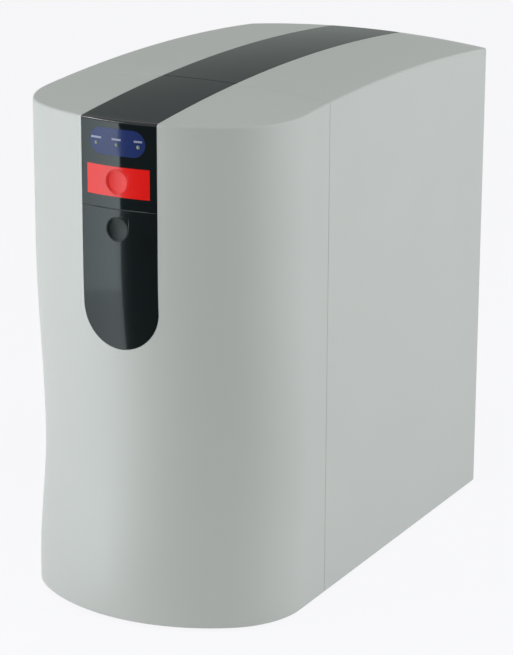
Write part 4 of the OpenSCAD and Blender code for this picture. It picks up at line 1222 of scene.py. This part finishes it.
class OSMOSIS_OT_pressure_vessels(bpy.types.Operator):
    """Membrane vessel with its ribbed cap, and the post filter"""

    bl_idname = "osmosis.pressure_vessels"
    bl_label = "Pressure vessels"

    def execute(self, context):
        self.vessel()
        self.cap()
        self.post_filter()
        return {"FINISHED"}

    def vessel(self):
        low, high, centre, r = axis_of("membrane_vessel")
        wall, floor, stub_len, stub_x, cut_t, edge = 0.0035, 0.006, 0.009, 0.012, 0.0007, 0.002
        foot, top = low.z + stub_len, high.z
        profile = [(0, foot), (r - edge, foot)] + arc((r - edge, foot + edge), edge, 270, 360, 4)[1:]
        profile += grooves(r, cut_t, foot + 0.014, foot + 0.022, top - 0.034, top - 0.026)
        profile += [(r, top), (r - wall, top), (r - wall, foot + floor), (0, foot + floor)]
        bm = bmesh.new()
        lathe(bm, profile, centre)
        for x in (-stub_x, stub_x):
            stub(bm, (centre.x + x, centre.y, foot), -UP, stub_len)
        piece(bm, "membrane_vessel_body", "chassis", "filter_white", ["membrane_vessel"], angle=30)

    def cap(self):
        low, high, centre, outer_r = axis_of("membrane_cap")
        wall, stub_len, top_t, edge, dip = 0.003, 0.008, 0.008, 0.002, 0.0012
        ribs, rib, rib_w, rib_r, rib_foot, rib_top = 32, 0.0006, 0.002, 0.0005, 0.002, 0.003
        ring = ((0.022, 0), (0.021, dip), (0.012, dip), (0.011, 0))
        r, foot, top = outer_r - rib, low.z, high.z - stub_len
        inner, under = r - wall, top - top_t
        profile = [(inner, foot), (r, foot)] + arc((r - edge, top - edge), edge, 0, 90, 4)
        profile += [(x, top - fall) for x, fall in ring] + [(0, top)]
        bm = bmesh.new()
        lathe(bm, profile, centre)
        lathe(bm, [(inner, foot), (inner, under), (0, under)], centre)
        low_corner = (r - wall / 2, -rib_w / 2, foot + rib_foot)
        ring_of_ribs(bm, centre, ribs, low_corner, (r + rib, rib_w / 2, top - rib_top), rib_r)
        stub(bm, (centre.x, centre.y, top), UP, stub_len)
        piece(bm, "membrane_cap_body", "chassis", "filter_white", ["membrane_cap"], angle=30)

    def post_filter(self):
        low, high, centre, r = axis_of("post_filter")
        round_r, low_stub, top_stub, cut_t = 0.012, 0.009, 0.008, 0.0007
        foot, top = low.z + low_stub, high.z - top_stub
        profile = [(0, foot)] + arc((r - round_r, foot + round_r), round_r, 270, 360, 10)
        profile += grooves(r, cut_t, foot + 0.018, top - 0.021)
        profile += arc((r - round_r, top - round_r), round_r, 0, 90, 10) + [(0, top)]
        bm = bmesh.new()
        lathe(bm, profile, centre)
        stub(bm, (centre.x, centre.y, foot), -UP, low_stub)
        stub(bm, (centre.x, centre.y, top), UP, top_stub)
        piece(bm, "post_filter_body", "chassis", "filter_white", ["post_filter"], angle=30)


def is_upright(edge):
    return abs(edge.verts[0].co.z - edge.verts[1].co.z) > TINY


def slab(bm, low, high, corner_r, edge_r):
    """A block with rounded upright corners and softened edges."""
    corner_steps = 6
    rounds = bevel(bm, [e for e in block_edges(bm, low, high) if is_upright(e)], corner_r, corner_steps)
    faces = {f for v in rounds for f in v.link_faces}
    bevel(bm, {e for f in faces for e in f.edges if not is_upright(e)}, edge_r)


class OSMOSIS_OT_booster_pump(bpy.types.Operator):
    """Pump head in three layers, the motor with its vents, and their screws"""

    bl_idname = "osmosis.booster_pump"
    bl_label = "Booster pump"

    def execute(self, context):
        self.motor()
        self.head()
        return {"FINISHED"}

    def motor(self):
        low, high, centre, r = axis_of("pump_motor")
        foot, top = low.z, high.z
        shaft_r, boss_r, boss_h, edge, bead, cap_r = 0.004, 0.0115, 0.0015, 0.001, 0.0008, 0.003
        cap_z = top - boss_h
        profile = [(shaft_r, foot), (r - edge, foot), (r, foot + edge)]
        profile += grooves(r, bead, foot + 0.009, top - 0.015, floor=1)
        profile += arc((r - cap_r, cap_z - cap_r), cap_r, 0, 90, 5)
        profile += [(boss_r + 0.004, cap_z), (boss_r + 0.002, cap_z), (boss_r, top), (0, top)]
        bm = bmesh.new()
        lathe(bm, profile, centre)
        piece(bm, "pump_motor_can", "chassis", "motor_steel", ["pump_motor"], angle=30)
        vents = bmesh.new()
        count, slot_w, slot_h, slot_z, proud, slot_r = 18, 0.0028, 0.009, top - 0.027, 0.00015, 0.0002
        low_corner, high_corner = (r - edge, -slot_w / 2, slot_z), (r + proud, slot_w / 2, slot_z + slot_h)
        ring_of_ribs(vents, centre, count, low_corner, high_corner, slot_r)
        piece(vents, "pump_motor_vents", "chassis", "black_plastic")

    def head(self):
        low, high, centre, _ = axis_of("pump_head")
        stub_len, stub_x, corner, edge, joint_in = 0.009, 0.015, 0.008, 0.0008, 0.0014
        foot, top = low.z + stub_len, high.z
        joints = (foot, foot + 0.016, foot + 0.0195, foot + 0.034, foot + 0.0375, top)
        bm = bmesh.new()
        for i, (z0, z1) in enumerate(zip(joints, joints[1:])):
            inset = joint_in if i % 2 else 0
            shift = Vector((inset, inset, 0))
            slab(bm, Vector((low.x, low.y, z0)) + shift, Vector((high.x, high.y, z1)) - shift, corner, edge)
        rib_w, rib_in, rib_out, rib_r = 0.003, 0.004, 0.0005, 0.0005
        rib_xs, rib_low, rib_high = (-0.016, -0.008, 0, 0.008, 0.016), foot + 0.002, foot + 0.0145
        for x in rib_xs:
            for y0, y1 in ((low.y - rib_out, low.y + rib_in), (high.y - rib_in, high.y + rib_out)):
                bar(bm, (x - rib_w / 2, y0, rib_low), (x + rib_w / 2, y1, rib_high), rib_r)
        for x in (-stub_x, stub_x):
            stub(bm, (x, centre.y, foot), -UP, stub_len)
        piece(bm, "pump_head_body", "chassis", "black_plastic", ["pump_head"], angle=30)
        screws = bmesh.new()
        head_r, rim_h, flatness, sunk = 0.0032, 0.0006, 0.3, 0.0012
        profile = [(0, -sunk), (head_r, -sunk), (head_r, 0)]
        profile += [(r, rim_h + h * flatness) for r, h in arc((0, 0), head_r, 0, 90, 4)]
        for x in (low.x + corner, high.x - corner):
            for y in (low.y + corner, high.y - corner):
                lathe(screws, profile, (x, y, foot), -UP, FINE_STEPS)
        piece(screws, "pump_head_screws", "chassis", "screw_steel")


def softened(node, radius):
    """Copy of a node's own mesh, whose sharp edges are rounded where there is room."""
    flat, sharp = math.radians(1), math.radians(35)
    bm = bmesh.new()
    bm.from_mesh(frame["nodes"][node].data)
    merge(bm)
    bmesh.ops.dissolve_limit(bm, angle_limit=flat, verts=bm.verts[:], edges=bm.edges[:])
    edges = [e for e in bm.edges if e.is_manifold and e.calc_face_angle() > sharp]
    bevel(bm, [e for e in edges if has_room(e, radius)], radius)
    return bm


# Nodes whose own shape gets rounded edges, by the radius of the rounds
SOFT_NODES = {
    0.0008: ("control_box", "control_lid", "solenoid_coil", "tank_tap"),
    0.0005: (
        "filter_manifold", "base_tray", "back_panel", "vessel_clips", "pump_bushes", "pressure_switches",
        "solenoid_valve", "leak_sensor", "flow_restrictor", "tank_stand", "tank_tap_lever", "power_inlet",
        "port_nuts", "feed_port", "drain_port", "product_port", "rubber_feet",
    ),
    0.0003: (
        "bulkhead", "pump_bracket", "panel_screws", "feed_collet", "drain_collet", "product_collet",
        "tank_band", "display_board", "control_board",
    ),
}


class OSMOSIS_OT_hardware(bpy.types.Operator):
    """Tray, panel, ports, manifold, clips, valve, switches and boxes with softened edges"""

    bl_idname = "osmosis.hardware"
    bl_label = "Hardware"

    def execute(self, context):
        for radius, nodes in SOFT_NODES.items():
            for node in nodes:
                body = frame["nodes"][node].parent.name.split(":")[1]
                bm = softened(node, radius)
                part = piece(bm, node + "_part", body, NODE_SLOTS[node], [node], angle=24)
                part.modifiers.new("flat faces", "WEIGHTED_NORMAL").keep_sharp = True
        return {"FINISHED"}


class OSMOSIS_OT_finishes(bpy.types.Operator):
    """Finishes of the nodes that stay as they are"""

    bl_idname = "osmosis.finishes"
    bl_label = "Finishes"

    def execute(self, context):
        for name, node in frame["nodes"].items():
            if node.hide_render:
                continue
            for slot in node.material_slots:
                slot.material = finish(NODE_SLOTS[name])
        return {"FINISHED"}


class OSMOSIS_OT_stage(bpy.types.Operator):
    """Pale floor, soft studio light and the camera"""

    bl_idname = "osmosis.stage"
    bl_label = "Stage"

    def execute(self, context):
        scene = context.scene
        scene.view_settings.view_transform = "Standard"
        self.floor()
        self.world(scene)
        self.panels(scene)
        self.cards()
        self.camera(scene)
        return {"FINISHED"}

    def floor(self):
        """Pale floor, as bright as the backdrop to camera, gloss and glass, that still takes shadows."""
        half, cells, shade, rough = 4, 4, (0.9, 0.9, 0.9, 1), 0.9
        glow_shade, glow_share = (0.974, 0.974, 0.992, 1), 0.92
        bm = bmesh.new()
        bmesh.ops.create_grid(bm, x_segments=cells, y_segments=cells, size=half)
        f = Finish("floor")
        f.set(base_color=shade, roughness=rough)
        lit = Wire(f.wire.tree, f.shader.outputs[0])
        glow = f.wire.add("ShaderNodeEmission", None, {"Color": glow_shade, "Strength": 1.0})
        f.show(f.wire.add("ShaderNodeMixShader", None, {0: shown(f.wire) * glow_share, 1: lit, 2: glow}))
        in_scene(bm, "floor", f.material)

    def world(self, scene):
        """Light from all round, a little warm, and white to the camera, gloss and glass."""
        warm, pale = (0.97, 0.957, 0.918, 1), (0.95, 0.955, 0.965, 1)
        world = bpy.data.worlds.new("studio")
        world.use_nodes = True
        scene.world = world
        tree = world.node_tree
        background = tree.nodes["Background"].inputs
        wire = Wire(tree)
        seen = shown(wire)
        tree.links.new(blend(wire, seen, warm, pale).socket, background["Color"])
        ambient = scene.osmosis_stage.ambient
        tree.links.new((ambient + (1 - ambient) * seen).socket, background["Strength"])

    def panels(self, scene):
        """Soft light panels: a narrow key at the front left and a broad one high at the right."""
        g = scene.osmosis_stage
        key_shade, right_shade = (0.98, 0.98, 1.0), (0.955, 0.97, 1.0)
        panels = {
            "key_panel": ((-0.62, -0.74, 0.6), (0, -0.208, 0.6), (0.58, 1.2), g.key_power, key_shade),
            "right_panel": ((1.5, 0.35, 1.0), (0, 0.05, 0.25), (1.2, 1.2), g.right_power, right_shade),
        }
        for name, (place, target, size, energy, shade) in panels.items():
            lamp = bpy.data.lights.new(name, "AREA")
            lamp.shape = "RECTANGLE"
            lamp.size, lamp.size_y = size
            lamp.energy = energy
            lamp.color = shade
            obj = add_object(name, lamp)
            obj.location = place
            way = Vector(place) - Vector(target)
            obj.rotation_euler = way.to_track_quat("Z", "Y").to_euler()
            obj.visible_camera = False
            obj.visible_glossy = name != "key_panel"

    def cards(self):
        """Studio cards that only gloss shows: light at the front left, dark in front, grey behind."""
        front = Vector((0, cover().front + cover().foot_out, 0.002))
        behind = Vector((0, 0, 0.002))
        cool, white, green = (0.86, 0.98, 1.0), (1, 1, 1), (0.92, 1.0, 0.96)
        left, ahead, rear = (195, 46), (241, 75), (60, 115)
        cards = {
            "light_card": (front, (0.78, 0.78), left, (0, 0.62), (1.2, 3.7), cool),
            "floor_card": (front, (0.06, 0.78), left, (0, 0), (0.9, 2.6), cool),
            "high_card": (front, (0.72, 0.72), (195, 40), (0.88, 1.08), (18, 6), white),
            "dark_card": (front, (0.06, 0.75), ahead, (0, 0.62), (0, 0), white),
            "grey_card": (behind, (1.3, 1.3), rear, (0, 0.52), (0.74, 0.74), green),
            "dim_card": (behind, (1.3, 1.3), rear, (0.52, 0.8), (0.5, 0.5), green),
            "dusk_card": (behind, (1.3, 1.3), rear, (0.8, 1.3), (0.27, 0.27), green),
        }
        for name, values in cards.items():
            self.card(name, *values)

    def card(self, name, middle, reach, span, rise, glow, shade):
        """A card round a middle: between two radii, two heights and two glows along its span in degrees."""
        near, far = reach
        low, high = rise
        start, turn = (math.radians(a) for a in span)
        bm = bmesh.new()
        vert = bm.verts.new(middle + near * Vector((math.cos(start), math.sin(start), 0)) + UP * low)
        turn_about(bm, vert, middle, UP, turn, CARD_STEPS)
        rim = bm.edges[:]
        if far > near:
            rim = sweep(bm, rim, lambda co: middle + (co - middle) * far / near)
        if high > low:
            sweep(bm, rim, lambda co: co + UP * (high - low))
        f = Finish(name)
        strength, tone = max(glow), rgba(shade)
        if min(glow) < strength:
            angle = f.wire.sum("ARCTAN2", f.axis("Y") - middle.y, f.axis("X") - middle.x)
            first = math.remainder(start, 2 * math.pi)
            share = f.step(angle, first, first + turn)
            tone = blend(f.wire, share, *(rgba(shade, value / strength) for value in glow))
        f.show(f.wire.add("ShaderNodeEmission", None, {"Color": tone, "Strength": strength}))
        card = in_scene(bm, name, f.material)
        for ray in ("camera", "diffuse", "shadow", "transmission", "volume_scatter"):
            setattr(card, "visible_" + ray, False)

    def camera(self, scene):
        """Camera at the photograph's view, whose picture is 513 by 655."""
        place = (1.0001, -1.8434, 0.8320)
        yaw, pitch, roll = 0.4956, 0.2997, 0.0038
        focal_px, shift_px, tall_px = 2657.0, 2.8, 655
        lens = bpy.data.cameras.new("camera")
        lens.sensor_width = 36
        lens.lens = focal_px / tall_px * lens.sensor_width
        lens.shift_x = shift_px / tall_px
        camera = add_object("camera", lens)
        turn = Matrix.Rotation(yaw, 4, "Z") @ Matrix.Rotation(math.pi / 2 - pitch, 4, "X")
        camera.matrix_world = Matrix.Translation(place) @ turn @ Matrix.Rotation(roll, 4, "Z")
        scene.camera = camera


PIECES = (
    OSMOSIS_OT_front_cover,
    OSMOSIS_OT_rear_cover,
    OSMOSIS_OT_control_strip,
    OSMOSIS_OT_lamp_window,
    OSMOSIS_OT_push_buttons,
    OSMOSIS_OT_cartridges,
    OSMOSIS_OT_pressure_vessels,
    OSMOSIS_OT_booster_pump,
    OSMOSIS_OT_hardware,
    OSMOSIS_OT_finishes,
    OSMOSIS_OT_stage,
)


class OSMOSIS_PT_pieces(bpy.types.Panel):
    """Buttons that make the pieces"""

    bl_label = "Reverse osmosis unit"
    bl_idname = "OSMOSIS_PT_pieces"
    bl_space_type = "VIEW_3D"
    bl_region_type = "UI"
    bl_category = "Osmosis"

    def draw(self, context):
        for operator in PIECES:
            self.layout.operator(operator.bl_idname)


SETTINGS = {"cover": CoverSizes, "strip": StripSizes, "colours": FinishColours, "stage": StageSettings}
CLASSES = (*SETTINGS.values(), *PIECES, OSMOSIS_PT_pieces)


def register():
    for cls in CLASSES:
        bpy.utils.register_class(cls)
    for name, group in SETTINGS.items():
        setattr(bpy.types.Scene, "osmosis_" + name, PointerProperty(type=group))


def unregister():
    for name in SETTINGS:
        delattr(bpy.types.Scene, "osmosis_" + name)
    for cls in reversed(CLASSES):
        bpy.utils.unregister_class(cls)


def main():
    register()
    for operator in PIECES:
        getattr(bpy.ops.osmosis, operator.bl_idname.split(".")[1])()


if __name__ == "__main__":
    main()
